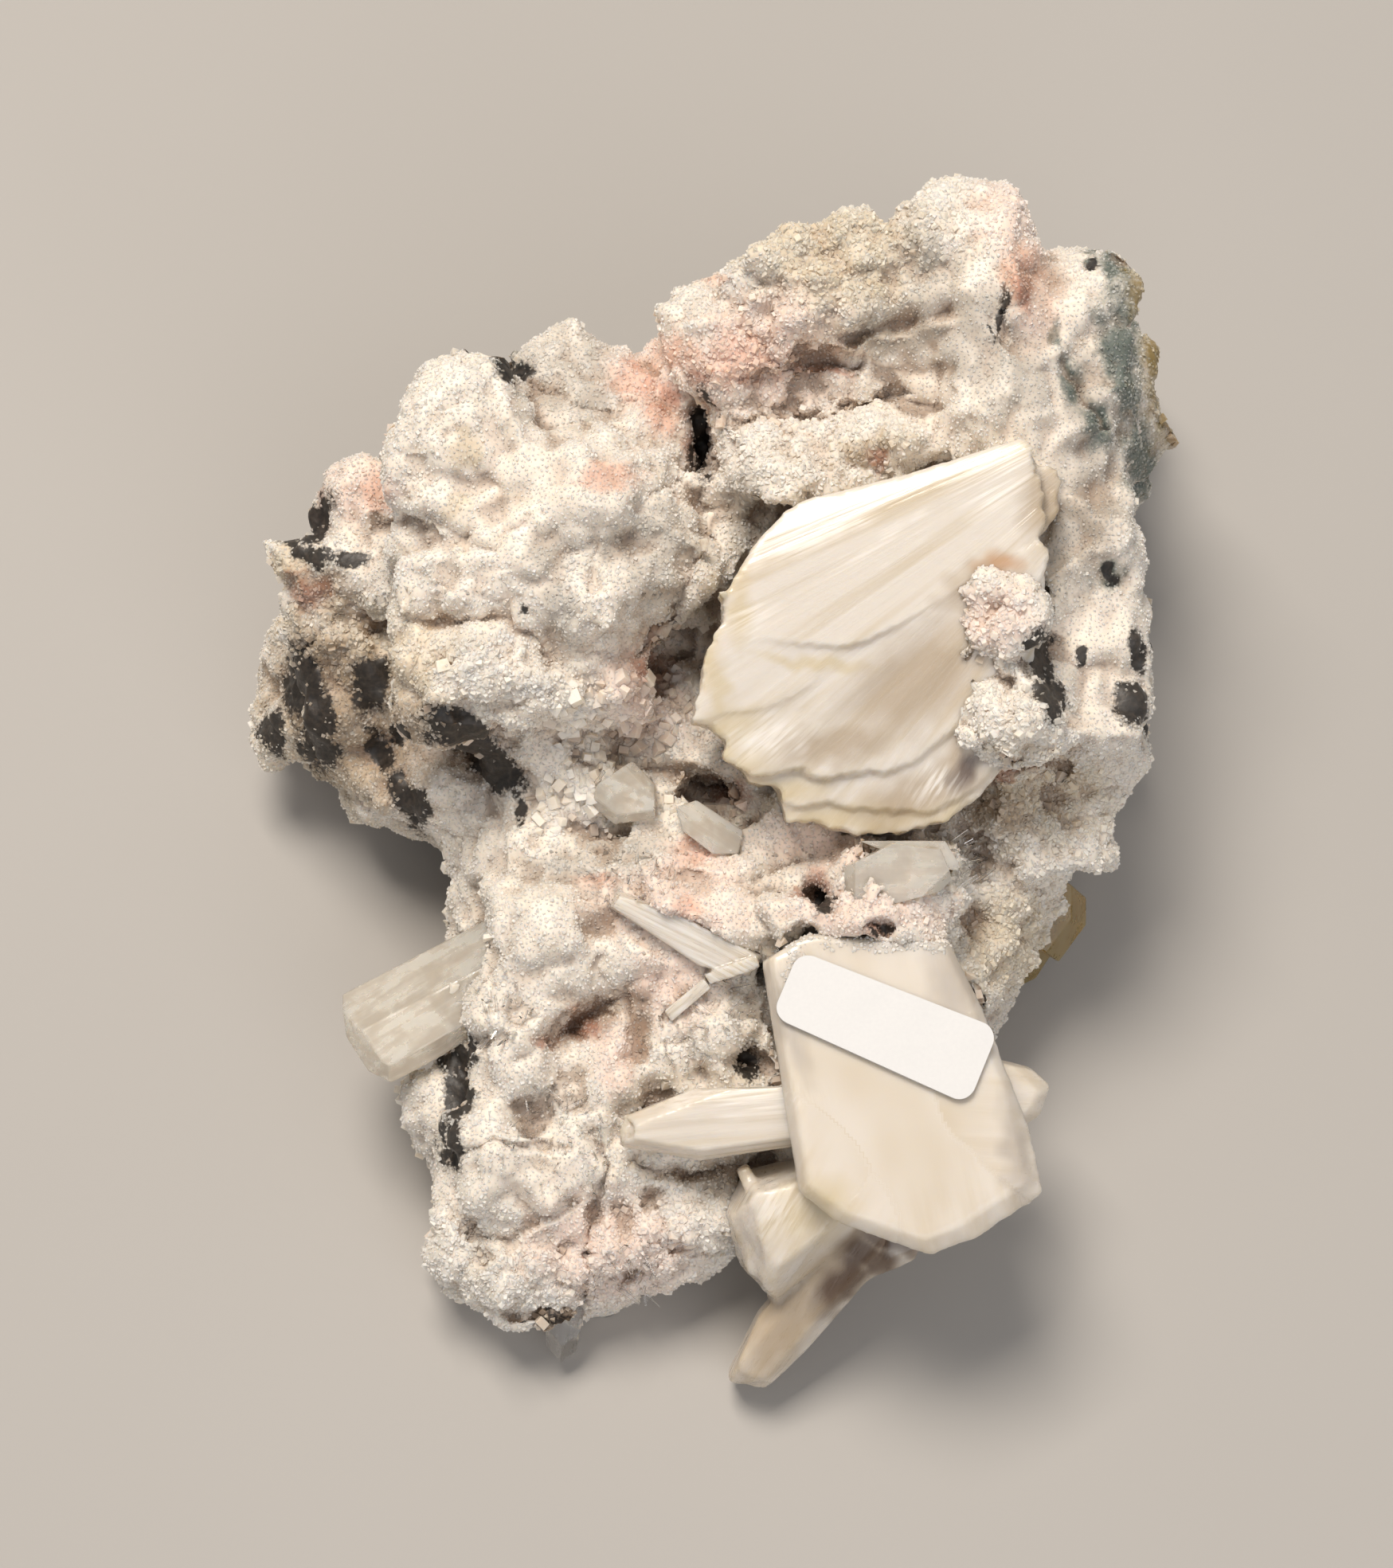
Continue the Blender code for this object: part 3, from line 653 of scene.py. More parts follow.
def grow_blades(node, name, voxel, rounds, line_height, end_height, drawn_out):
    """Gives one crystal its even net, its marks, its fibre lines and the small steps at its free ends."""
    piece = fan
    if node != "stilbite_fan":
        piece = copy_of(node, name)
        even_net(piece, voxel, rounds)
    points, outward = points_of(piece.data), normals_of(piece.data)
    seen = seen_from(points) + wander(points / MM, MARK_SHIFT_WIDTH, MARK_SHIFT)[:, :2]
    fibre, direction = fibres_of(points, node)
    for mark, patches in STILBITE_MARKS.items():
        depth = painted(seen, patches)
        if mark in ("smooth", "veil") and node != "stilbite_block":
            depth *= 0
        # the beige and brown marks, partly painted shade, lie only on the crystals behind the block
        if mark in ("beige", "brown") and node == "stilbite_block":
            depth *= smoothstep(-fibre[:, 2], *BEHIND_BLOCK)
        store(piece.data, mark, depth)
    end = smoothstep(np.abs(np.sum(outward * direction, axis=1)), *ENDS_FACE_ALONG)
    lines = 0.5 * fibre_noise(fibre, *BROAD_LINES) + 0.5 * fibre_noise(fibre, *FINE_LINES)
    steps = np.round(fibre_noise(fibre, *END_STEPS) * STEPS_PER_UNIT) / STEPS_PER_UNIT
    steps += LINES_ON_STEPS * lines
    height = (1 - end) * lines * line_height + end * steps * end_height
    if node == "stilbite_block":
        height *= 1 - SMOOTHED_AWAY * painted(seen, STILBITE_MARKS["smooth"])
    root = drawn_out * smoothstep(-fibre[:, 0], -ROOT_LENGTH, 0.0)
    set_points(piece.data, points + (outward * height[:, None] - direction * root[:, None]) * MM)
    store(piece.data, "fibre", fibre)
    piece.data.polygons.foreach_set("use_smooth", [True] * len(piece.data.polygons))
    print(name, triangles_in(piece), "triangles")
    return piece


blades = {row[0]: grow_blades(*row) for row in BLADES}

# %% [markdown]
# ## Finish: stilbite
# Stilbite is a soft, glassy mineral with perfect cleavage. Its plates are clear, but the thin gaps
# between them scatter light, which makes a thick crystal cream and a thin edge almost clear. On the
# cleavage face the layers shine like pearl. The recipe is a cream base with subsurface scattering of over
# a millimetre, a low roughness in streaks along the fibres, a thin coat for the pearly shine, and a bump
# of very fine lines. White streaks are painted in frosted places, partly frost and partly painted
# highlights, and the beige and brown tones are partly painted shade. The thinnest crystals let light through.

# %% Finish: stilbite
# real fibre lines are finer than this, which is about as fine as the picture shows
FINE_LINE_MM = 0.16
STILBITE_PALE = "#D8D0C5"
STILBITE_DEEP = "#C8BAA3"
# partly frost, partly painted highlight
FROST_AND_GLINT_WHITE = "#F4F0EA"
STILBITE_TONES = (
    ("yellow", "#C6B48B", 0.62),
    # partly the crystal's own beige, partly painted shade
    ("beige", "#AD9A80", 0.8),
    ("amber", "#B98F66", 0.75),
    # painted shade with a brown tone
    ("brown", "#5A422D", 0.94),
    ("veil", "#A89F96", 0.6),
)
BROAD_STREAKS_PER_MM = 0.6
CLOUDS_PER_MM = 0.22
RIDGE_HEIGHT_MM = 0.08
SCATTER_MM = 1.8


def stilbite_finish(name, see_through):
    """The stilbite's material. see_through is the share of light that goes straight through it."""
    made, tree = new_material(name)
    fibre = add_node(tree, "ShaderNodeAttribute", attribute_name="fibre").outputs["Vector"]
    smooth = add_node(tree, "ShaderNodeAttribute", attribute_name="smooth").outputs["Fac"]
    lined = add_node(tree, "ShaderNodeMath", {0: smooth, 1: -0.92, 2: 1.0}, operation="MULTIPLY_ADD")
    streaks = add_node(tree, "ShaderNodeVectorMath", {0: fibre, 1: (0.04, 1.0, 0.6)}, operation="MULTIPLY")
    clouds = add_node(tree, "ShaderNodeVectorMath", {0: fibre, 1: (0.45, 0.7, 0.7)}, operation="MULTIPLY")
    broad = add_node(
        tree, "ShaderNodeTexNoise", {"Vector": streaks, "Scale": BROAD_STREAKS_PER_MM, "Detail": 4.0}
    )
    milky = add_node(tree, "ShaderNodeTexNoise", {"Vector": clouds, "Scale": CLOUDS_PER_MM, "Detail": 1.0})
    line = add_node(
        tree, "ShaderNodeTexNoise", {"Vector": streaks, "Scale": 0.5 / FINE_LINE_MM, "Detail": 3.0}
    )
    faint = add_node(tree, "ShaderNodeMath", {0: milky, 1: 0.4, 2: 0.3}, operation="MULTIPLY_ADD")
    pattern = add_node(tree, "ShaderNodeMix", {0: smooth, 2: broad, 3: faint}, data_type="FLOAT")
    deeper = add_node(
        tree,
        "ShaderNodeMapRange",
        {"Value": pattern, "From Min": 0.4, "From Max": 0.7},
        interpolation_type="SMOOTHSTEP",
    )
    colour = add_node(
        tree,
        "ShaderNodeMix",
        {0: deeper, 6: linear(STILBITE_PALE), 7: linear(STILBITE_DEEP)},
        data_type="RGBA",
    )
    # the beige and brown tones among these are partly painted shade
    for mark, tone, strength in STILBITE_TONES:
        depth = add_node(tree, "ShaderNodeAttribute", attribute_name=mark).outputs["Fac"]
        share = add_node(tree, "ShaderNodeMath", {0: depth, 1: strength}, operation="MULTIPLY")
        colour = add_node(tree, "ShaderNodeMix", {0: share, 6: colour, 7: linear(tone)}, data_type="RGBA")
    # white streaks along the fibres: partly real frost, partly painted highlights
    frost = add_node(tree, "ShaderNodeAttribute", attribute_name="frost").outputs["Fac"]
    half_broad = add_node(tree, "ShaderNodeMath", {0: broad, 1: 0.5}, operation="MULTIPLY")
    strands = add_node(tree, "ShaderNodeMath", {0: line, 1: 0.5, 2: half_broad}, operation="MULTIPLY_ADD")
    streak = add_node(
        tree,
        "ShaderNodeMapRange",
        {"Value": strands, "From Min": 0.46, "From Max": 0.58, "To Min": 0.05, "To Max": 0.75},
    )
    frost_glint_streaks = add_node(tree, "ShaderNodeMath", {0: frost, 1: streak}, operation="MULTIPLY")
    white = add_node(tree, "ShaderNodeMath", {0: frost_glint_streaks, 1: lined}, operation="MULTIPLY")
    colour = add_node(
        tree, "ShaderNodeMix", {0: white, 6: colour, 7: linear(FROST_AND_GLINT_WHITE)}, data_type="RGBA"
    )
    shiny = add_node(
        tree,
        "ShaderNodeMapRange",
        {"Value": line, "From Min": 0.35, "From Max": 0.65, "To Min": 0.2, "To Max": 0.5},
    )
    rough = add_node(tree, "ShaderNodeMix", {0: smooth, 2: shiny, 3: 0.38}, data_type="FLOAT")
    ridged = add_node(tree, "ShaderNodeMath", {0: line, 1: lined}, operation="MULTIPLY")
    bump = add_node(
        tree, "ShaderNodeBump", {"Strength": 0.5, "Distance": RIDGE_HEIGHT_MM * MM, "Height": ridged}
    )
    shader = add_node(
        tree,
        "ShaderNodeBsdfPrincipled",
        {
            "Base Color": colour,
            "Roughness": rough,
            "IOR": 1.5,
            "Transmission Weight": see_through,
            "Subsurface Weight": 0.75,
            "Subsurface Radius": (1.0, 0.85, 0.6),
            "Subsurface Scale": SCATTER_MM * MM,
            "Coat Weight": 0.4,
            "Coat Roughness": 0.14,
            "Coat Normal": bump,
            "Normal": bump,
        },
    )
    add_node(tree, "ShaderNodeOutputMaterial", {"Surface": shader})
    return made


pearly_stilbite = stilbite_finish("pearly stilbite", 0.0)
thin_stilbite = stilbite_finish("thin see-through stilbite", 0.15)
THIN = ("stilbite_splinter", "stilbite_needle")
for node, blade in blades.items():
    blade.data.materials.clear()
    blade.data.materials.append(thin_stilbite if node in THIN else pearly_stilbite)
print("stilbite pieces:", [blade.name for blade in blades.values()])

# %% [markdown]
# ## Clear crystals
# The small clear crystals are of the same family, with fewer scattering layers. They are flat-faced, with
# worn edges, so a copy of each solid gets a narrow bevel and keeps its planes. Fine growth lines run
# along each one, so its points keep their place along its own longest direction.

# %% Clear crystals
CLEAR_EDGE_MM = 0.10
ONE_PLANE_DEG = 1.0
CLEAR = {
    "glassy_crystal_left": "clear_crystal_left",
    "glassy_crystal_foot": "clear_crystal_foot",
    "glassy_crystal_centre": "clear_crystal_centre",
    "glassy_fan": "clear_crystal_fan",
    "glassy_crystal_right": "clear_crystal_right",
    "honey_crystal": "honey_crystals",
}


def worn_edges(piece, width):
    """Merges the flat faces of a copied solid into whole faces, and bevels the edges between them."""
    bm = bmesh.new()
    bm.from_mesh(piece.data)
    bmesh.ops.dissolve_limit(bm, angle_limit=math.radians(ONE_PLANE_DEG), verts=bm.verts, edges=bm.edges)
    bm.to_mesh(piece.data)
    bm.free()
    bevel = piece.modifiers.new("worn edges", "BEVEL")
    bevel.width = width * MM
    bevel.segments = 1
    bevel.limit_method = "ANGLE"
    settle(piece)


def store_own_fibre(mesh):
    """Keeps each point's place along, across and through the piece's longest direction, in millimetres."""
    points = points_of(mesh)
    centred = points - points.mean(axis=0)
    axes = np.linalg.svd(centred, full_matrices=False)[2]
    store(mesh, "fibre", centred @ axes.T / MM)


clear_pieces = {}
for node, name in CLEAR.items():
    clear_pieces[node] = copy_of(node, name)
    worn_edges(clear_pieces[node], CLEAR_EDGE_MM)
    store_own_fibre(clear_pieces[node].data)
    print(name, triangles_in(clear_pieces[node]), "triangles")

# %% [markdown]
# ## Finish: clear zeolite and calcite
# Clear zeolite is a glassy silicate with an index of refraction near 1.5, and the honey-coloured calcite
# under the rim gets the same. The finish is glass with that index and a faint warm absorption along the
# path of the light. The larger crystals are full of tiny cracks, which is why they look milky. A veil of
# clouds and lines along the crystal stands for the cracks: it is paler and rougher, and light scatters
# below the surface.

# %% Finish: clear zeolite and calcite
CRACK_LINES_PER_MM = 1.5
CRACK_CLOUDS_PER_MM = 0.5
CRACK_DEPTH_MM = 0.1
CLEAR_SCATTER_MM = 2.0


def clear_finish(name, colour, veil, see_through, roughness, absorbed, density):
    """A clear crystal's material, with a veil of fine cracks in clouds and lines."""
    made, tree = new_material(name)
    fibre = add_node(tree, "ShaderNodeAttribute", attribute_name="fibre").outputs["Vector"]
    stretched = add_node(
        tree, "ShaderNodeVectorMath", {0: fibre, 1: (0.08, 1.0, 1.0)}, operation="MULTIPLY"
    )
    lines = add_node(
        tree, "ShaderNodeTexNoise", {"Vector": stretched, "Scale": CRACK_LINES_PER_MM, "Detail": 3.0}
    )
    clouds = add_node(
        tree,
        "ShaderNodeTexNoise",
        {"Vector": fibre, "Scale": CRACK_CLOUDS_PER_MM, "Detail": 3.0, "Distortion": 0.6},
    )
    faded = add_node(tree, "ShaderNodeMath", {0: clouds, 1: 0.6}, operation="MULTIPLY")
    mixed = add_node(tree, "ShaderNodeMath", {0: lines, 1: 0.5, 2: faded}, operation="MULTIPLY_ADD")
    veiled = add_node(
        tree,
        "ShaderNodeMapRange",
        {"Value": mixed, "From Min": 0.45, "From Max": 0.66},
        interpolation_type="SMOOTHSTEP",
    )
    tint = add_node(
        tree, "ShaderNodeMix", {0: veiled, 6: linear(colour), 7: linear(veil)}, data_type="RGBA"
    )
    blurred = add_node(tree, "ShaderNodeMath", {0: veiled, 1: 0.3, 2: roughness}, operation="MULTIPLY_ADD")
    bump = add_node(
        tree, "ShaderNodeBump", {"Strength": 0.7, "Distance": CRACK_DEPTH_MM * MM, "Height": mixed}
    )
    shader = add_node(
        tree,
        "ShaderNodeBsdfPrincipled",
        {
            "Base Color": tint,
            "Roughness": blurred,
            "IOR": 1.5,
            "Transmission Weight": see_through,
            "Subsurface Weight": 0.6,
            "Subsurface Radius": (1.0, 0.9, 0.75),
            "Subsurface Scale": CLEAR_SCATTER_MM * MM,
            "Normal": bump,
        },
    )
    volume = add_node(tree, "ShaderNodeVolumeAbsorption", {"Color": linear(absorbed), "Density": density})
    add_node(tree, "ShaderNodeOutputMaterial", {"Surface": shader, "Volume": volume})
    return made


# each finish: its colour, the veil's, how much light goes through, its roughness, and what it absorbs
clear_zeolite = clear_finish("clear zeolite", "#FFFFFF", "#FFFFFF", 1.0, 0.05, "#F3E6D0", 25.0)
cloudy_zeolite = clear_finish("cloudy zeolite", "#E2D9CB", "#FBF5EA", 0.55, 0.05, "#F3E6D0", 25.0)
honey_calcite = clear_finish("honey calcite", "#D9BD78", "#EAD6A2", 0.75, 0.2, "#D9B45C", 160.0)
FINISH_OF = {"honey_crystal": honey_calcite, "glassy_crystal_foot": clear_zeolite}
for node, piece in clear_pieces.items():
    piece.data.materials.clear()
    piece.data.materials.append(FINISH_OF.get(node, cloudy_zeolite))
print("clear pieces:", [piece.name for piece in clear_pieces.values()])

# %% [markdown]
# ## The rock's skin
# On the real piece the crust follows the lump beneath it, with soft rounded forms and no flat facets. The
# CAD solid has the lumps, ledges and pits, but coarse facets. A voxel remesh lays an even net of points
# over it, and a few rounds of smoothing take the facets away. Then every point drifts a little in a
# random direction that changes over a few millimetres, which turns round pits and straight ledges into
# natural ones. In a few places the crust swells: a knob of earthy crust on the right rim, the bed that
# the thin splinters lie in, and two lumps that overgrow the fan.

# %% The rock's skin
SKIN_VOXEL = 0.46
FACET_SMOOTHING_ROUNDS = 4
# each drift: the width over which it changes, and its reach
DRIFTS = ((7.0, 1.0), (2.4, 0.9))
# a swelling rises from its edge, at 1, to its full height at 0.3 of its half sizes
SWELL_RISES = (-1.0, -0.3)
SWELL_FACING = (0.0, 0.5)
SWELLS = (
    # each swelling: its middle and half sizes in the display face's frame, its direction on the table,
    # and its reach
    ((35.5, 37.5, -15.0), (12.0, 13.5, 11.0), (1.0, 0.0, 0.0), 7.4),
    ((-2.0, -14.5, 5.0), (9.0, 6.5, 30.0), tuple(FACE_OUTWARD), 1.3),
    ((23.5, 14.0, 15.0), (7.0, 6.5, 12.0), tuple(FACE_OUTWARD), 1.0),
    ((24.0, 6.5, 13.0), (6.0, 5.0, 12.0), tuple(FACE_OUTWARD), 0.9),
)

rock = copy_of("matrix", "rock")
even_net(rock, SKIN_VOXEL, FACET_SMOOTHING_ROUNDS)
skin_points = points_of(rock.data)
for drift_width, drift_reach in DRIFTS:
    skin_points += wander(skin_points / MM, drift_width, drift_reach) * MM
for middle, half_sizes, outward, reach in SWELLS:
    off_middle = np.linalg.norm((on_face(skin_points) - middle) / half_sizes, axis=1)
    bulge = smoothstep(-off_middle, *SWELL_RISES)
    turned = smoothstep(normals_of(rock.data) @ np.array(outward), *SWELL_FACING)
    skin_points += (bulge * turned * reach * MM)[:, None] * np.array(outward)
set_points(rock.data, skin_points)
above_table(rock.data)
print("rock skin:", len(rock.data.vertices), "points")

# %% [markdown]
# ## Crevices
# Crevices run between the lumps, and each ledge has a shadow under it. The eye reads the rock by them, so
# they are listed one by one: each is a line on the display face, in millimetres, with a half width and a
# depth. Points of the skin near a line are pushed straight into the face, and a little random wandering
# keeps the lines from looking drawn.

# %% Crevices
CREVICES = (
    (((-27, 14.6), (-22, 13.8), (-18.2, 14.8), (-15.7, 12.8)), 0.8, 0.8),
    (((-29.2, 22.6), (-24.7, 23.8), (-22.2, 21.8), (-19.2, 20.5), (-17.7, 22.8), (-15.2, 23.8)), 0.7, 0.6),
    (((-13.8, 33.9), (-10.8, 32.4), (-8.2, 32.5), (-7.3, 33.6)), 0.8, 0.8),
    (((-19.5, 37.5), (-13.5, 33.5), (-9.5, 30.0)), 0.6, 0.6),
    (((-5.5, 25.5), (-2.5, 26.5), (-0.5, 24)), 0.6, 0.7),
    (((-1.8, 20.0), (-3.4, 15.2), (-6.4, 11.4)), 0.9, 1.5),
    (((1.0, 32.1), (7.0, 32.0), (10.5, 32.8), (13.0, 33.5), (17.0, 34.6)), 0.5, 1.4),
    (((2.4, 40.2), (5.2, 38.0), (7.0, 36.6)), 0.7, 1.0),
    (((12.0, 39.5), (16.5, 40.8), (20.5, 41.8)), 1.3, 1.5),
    (((7.3, 38.2), (9.6, 37.2), (12.6, 37.2)), 1.1, 2.4),
    (((-12.6, -21.8), (-11.3, -20.6), (-9.6, -19.8)), 2.1, 2.4),
    (((-5.4, 1.2), (-2.0, 0.6), (1.8, -0.6)), 1.3, 1.8),
    (((25.7, 43.0), (25.9, 39.2)), 0.4, 1.0),
    (((30.7, 37.5), (31.9, 34.7), (34.5, 31.5)), 0.7, 1.0),
    (((22.6, 10.6), (26.5, 8.6)), 0.8, 1.5),
    (((22.4, 5.6), (25.6, 2.6), (31.0, 1.4)), 1.0, 1.7),
    (((-7.4, -17.6), (-6.4, -20.5), (-6.8, -24.0)), 1.7, 1.2),
    (((-22.0, -38.7), (-18.4, -40.7), (-15.4, -38.5)), 0.7, 1.1),
    (((-10.5, -30.5), (-9.3, -33.8), (-10.5, -38.0), (-11.5, -44.8)), 0.9, 1.4),
    (((-7.7, -43.4), (-4.9, -40.7), (0.1, -41.0)), 0.8, 1.1),
    (((-7.1, -33.5), (-1.9, -34.3), (4.5, -33.2)), 1.1, 1.4),
    (((-19.8, -45.4), (-14.3, -47.6)), 0.8, 0.9),
    (((-12.5, -3.5), (-8.0, -5.0), (-3.0, -8.0), (3.5, -8.5)), 0.8, 0.7),
    (((-14.0, 4.5), (-10.5, 1.5), (-10.0, -3.0)), 0.8, 0.8),
    (((14.0, -12.3), (15.4, -12.7)), 0.8, 1.8),
    (((-23.0, -33.0), (-19.0, -31.5), (-13.0, -32.0)), 0.7, 0.9),
    (((-5.5, -36.0), (-4.0, -39.5)), 0.7, 1.2),
    (((-12.5, -37.0), (-15.0, -38.5), (-17.5, -36.5)), 0.6, 0.8),
)
CREVICE_WOBBLE_WIDTH = 1.8
CREVICE_WOBBLE = 0.7
CREVICE_BOTTOM = 0.15
CARVED_FACING = (0.0, 0.35)


def carve(mesh):
    """Pushes the skin into the face along every crevice, and returns the deepest push in millimetres."""
    points = points_of(mesh)
    outward = np.array(FACE_OUTWARD)
    seen = seen_from(points) + wander(points / MM, CREVICE_WOBBLE_WIDTH, CREVICE_WOBBLE)[:, :2]
    depth = np.zeros(len(points))
    for line, half_width, deepest in CREVICES:
        share = smoothstep(-distance_to_line(seen, line), -half_width, -CREVICE_BOTTOM * half_width)
        depth = np.maximum(depth, deepest * share)
    depth *= smoothstep(normals_of(mesh) @ outward, *CARVED_FACING)
    set_points(mesh, points - depth[:, None] * outward * MM)
    return depth.max()


print(len(CREVICES), "crevices, the deepest", round(carve(rock.data), 2), "mm")

# %% [markdown]
# ## Where each kind of crust, and the painted shade, lies
# A mineral crust isn't one colour. Iron stains it salmon and rust, thin crust over basalt looks grey,
# older crust is tan, celadonite colours it green, and bare basalt is nearly black. Two marks are painted
# shade, at least in part: the grey mark also darkens shaded walls and hollows, and a brown earth shade
# darkens the shaded left flank, the hollow under the cap, a shaded wall on the right and the foot. Each
# mark is a small ellipse given on the display face: its middle, its half sizes and its turn, in
# millimetres and degrees. Two more lists say where the crust is coarse and where it is calm.

# %% Where each kind of crust lies
BARE_BASALT = [
    (-17.8, 36.3, 1.5, 1.1), (-34.8, 23.6, 1.1, 2.4, -25), (-35.6, 20.4, 2.4, 0.9, -12),
    (-31.8, 19.6, 1.7, 0.9, -8), (-36.2, 8.9, 1.8, 3.2), (-34.6, 3.8, 1.5, 2.6, 12),
    (-38.5, 4.6, 0.9, 1.9), (-30.0, 8.3, 1.7, 2.3), (-29.2, 3.2, 0.7, 1.8, 15),
    (14.7, -12.6, 0.6, 0.4, -10), (-34.6, 6.2, 1.3, 1.8), (-27.5, 4.6, 0.8, 0.8),
    (-22.0, 4.6, 3.6, 1.5, -22), (-19.0, 1.4, 3.4, 1.5, -40), (-26.6, -1.4, 1.3, 2.8, 28),
    (-16.6, -2.6, 0.4, 1.4), (-0.9, 30.4, 0.9, 4.2), (28.8, 11.2, 1.3, 2.8, 6), (29.4, 7.4, 1.2, 2.2, 4),
    (32.4, 11.2, 0.6, 0.7), (37.4, 11.6, 0.9, 2.0, 10), (37.0, 7.0, 1.7, 1.9), (38.2, 4.6, 0.6, 0.8),
    (-22.6, -23.8, 1.5, 2.1), (-22.2, -27.4, 1.1, 2.3), (-22.8, -31.5, 1.3, 2.2), (2.9, -24.4, 1.0, 1.5),
    (25.6, 41.6, 0.3, 1.9), (24.3, 39.9, 0.3, 0.9), (9.7, -10.4, 1.2, 0.8, -30),
    (-16.9, 15.8, 0.45, 0.45), (35.0, 18.6, 0.6, 1.3, 10), (33.8, 46.0, 0.4, 0.8),
]
RUST = [
    (-11.5, -21, 2.1, 1.5), (-14.5, -22.5, 1.4, 0.8), (9, -9, 1.8, 1.8), (14.5, -12.5, 1, 0.8),
    (1.2, -0.8, 2.6, 1.5, -20), (-5.6, 10.2, 1.6, 1.8, 30), (9.5, 36.5, 3.2, 0.7),
    (14.5, 28.5, 1.4, 0.8), (25.5, 1.5, 3.5, 1.0), (-1, 31, 1.6, 4), (-35.5, 17, 1.5, 2),
    (-34.5, 24.5, 1, 2), (-1.6, 35.4, 1.3, 1.2), (-3.8, 33.8, 1.0, 1.2), (3.4, 35.2, 1.2, 0.8, 20),
    (27.7, 43.8, 1.5, 1.6),
]
GREEN = [
    (33.5, 46.5, 0.8, 1.2), (35.8, 46, 1.2, 2.4, 10), (30, 39.5, 0.7, 1.4), (31.7, 35.6, 0.9, 2.4, 10),
    (33.8, 31.5, 1, 2.1, 10), (36.2, 37, 1.5, 8.4, 4), (37.8, 28.0, 1.7, 5.0, 6), (35.2, 46, 0.8, 2.5),
    (35, 18.5, 1, 1.8), (-18, 36.5, 1.4, 1.1), (34.6, 38.6, 1.3, 4.2, 12),
]
OCHRE = [(40.4, 38.5, 3.0, 10.5, 2), (38.0, 43.0, 1.8, 3.0, 10)]
SALMON = [
    (2.5, 37.5, 4.2, 3.0), (0, 44.5, 2.1, 0.8), (-3, 38, 1.8, 1.8), (-4.5, 32.5, 1.8, 2.5),
    (-6.5, 35.5, 2.1, 1.8), (-9.5, 27, 3.5, 1.1), (-29.5, 25.5, 1.1, 2.5), (27, 44.5, 1.8, 2.8),
    (26.5, 20, 2.1, 1.4), (-2.5, -11, 1.4, 1.1), (-1, -5.5, 2.1, 1.1), (-10.5, -8.5, 1.8, 0.8),
]
BLUSH = [
    (-31, 25.5, 3.2, 3.2), (26, 50, 3.4, 3.4), (24.5, 14.5, 3.8, 3.4), (-1.5, -7.5, 4.6, 2.2),
    (-8.5, -24, 2.5, 3.5), (-4, -11, 7, 4), (5, 38, 7, 6), (-5.5, 36, 4, 4), (-6, 8, 4, 5, 20),
    (12.5, -5.0, 8, 3), (14, -11, 8, 2.5), (-3.5, -17.5, 4, 4), (-9, -41, 8, 5), (28.5, 43.5, 2.5, 5),
]
# partly the crust's blue-grey tone, partly painted shade on shaded walls and in hollows
GREY_AND_SHADE = [
    (-12, 35.5, 7, 4.2), (-5, 20, 4.2, 4.9), (-8, 20.5, 2.8, 2.1), (-13.5, 14.5, 1.8, 4.2),
    (16, 40, 5.6, 2.5), (2.5, 24, 2.1, 3.5), (24, 39, 4.2, 5.2), (31, 21.5, 2.8, 6.3),
    (-13.5, -7.5, 4.2, 1.4), (-8, -5.5, 4.2, 2.1), (27.5, 36.5, 2.4, 4.0), (33.5, 25.5, 3.0, 7, 4),
    (33.5, 20.5, 2.5, 4.0), (22.0, 37.4, 3.0, 2.2), (-5.0, 19.5, 3.6, 3.6), (33.0, 33.5, 2.4, 5, 18),
    (-6.5, 3, 3.4, 2.0), (19, 45, 3, 5, 20), (-14, 20.5, 2.5, 2),
]
TAN = [
    (11.5, 46.5, 9.4, 5.6), (28.5, -1, 6.3, 4.2), (-31, 9.5, 8.4, 7), (-21.5, 29.5, 1.4, 2.1),
    (26, -14, 5, 5), (27.9, 43.9, 2.6, 2.8), (-37.5, 18.8, 3, 2), (12.5, 39.5, 6, 2.0, 8),
    (14, 29.4, 4, 1.2, 10), (-33, 4, 7, 8), (-22.5, 24.5, 1.6, 1.6, -20),
]
# painted shade: a brown tone laid where shade falls, on the left flank, under the cap, on a shaded wall at
# the right and at the foot
EARTH_SHADE = [
    (-33, 7, 5, 9, 10), (-28, 3, 4, 6), (9.5, 37.3, 3, 1.0), (17, 39.6, 4, 1.6, 10),
    (-34.5, 17.5, 3.5, 1.4, -12), (-35, 9, 5, 4), (-22, 3.6, 5, 2.2, -25), (33.4, 23.6, 2.2, 4.2),
    (27.6, 43.4, 1.9, 2.0), (-10.5, -20.5, 3.6, 2.0, 30), (-6.5, -21, 1.2, 4.6), (2, -34.2, 6, 1.6),
    (14, 29.0, 3, 1.0, 10), (24, -2, 5, 2, -20), (-1.0, 0.6, 3.2, 1.6), (-6.5, 9.5, 1.6, 4, 25),
    (28.0, 43.6, 2.2, 2.2),
]
COARSE = [
    (11.5, 46.5, 9.5, 5.5, 15), (3, 38, 4.5, 4.5), (24.5, 14.5, 4, 3.6), (26, 5, 5, 4), (28, -3, 7.5, 7),
    (24, -12, 5.5, 6), (-22, -41, 4, 4), (-15, -44, 8, 3.6), (-3, -39, 7, 4.5), (-20, 8, 6, 4),
    (-33, 13, 5, 4), (9, 29.5, 9, 3.4, 6),
]
CALM = [(30, 30, 5, 13), (34, 13, 4.5, 8), (-17, 26, 6, 6), (21, 40, 4.5, 7), (-15, -34.5, 4.5, 3.5)]
print("patches of bare basalt:", len(BARE_BASALT), "and of rust:", len(RUST))

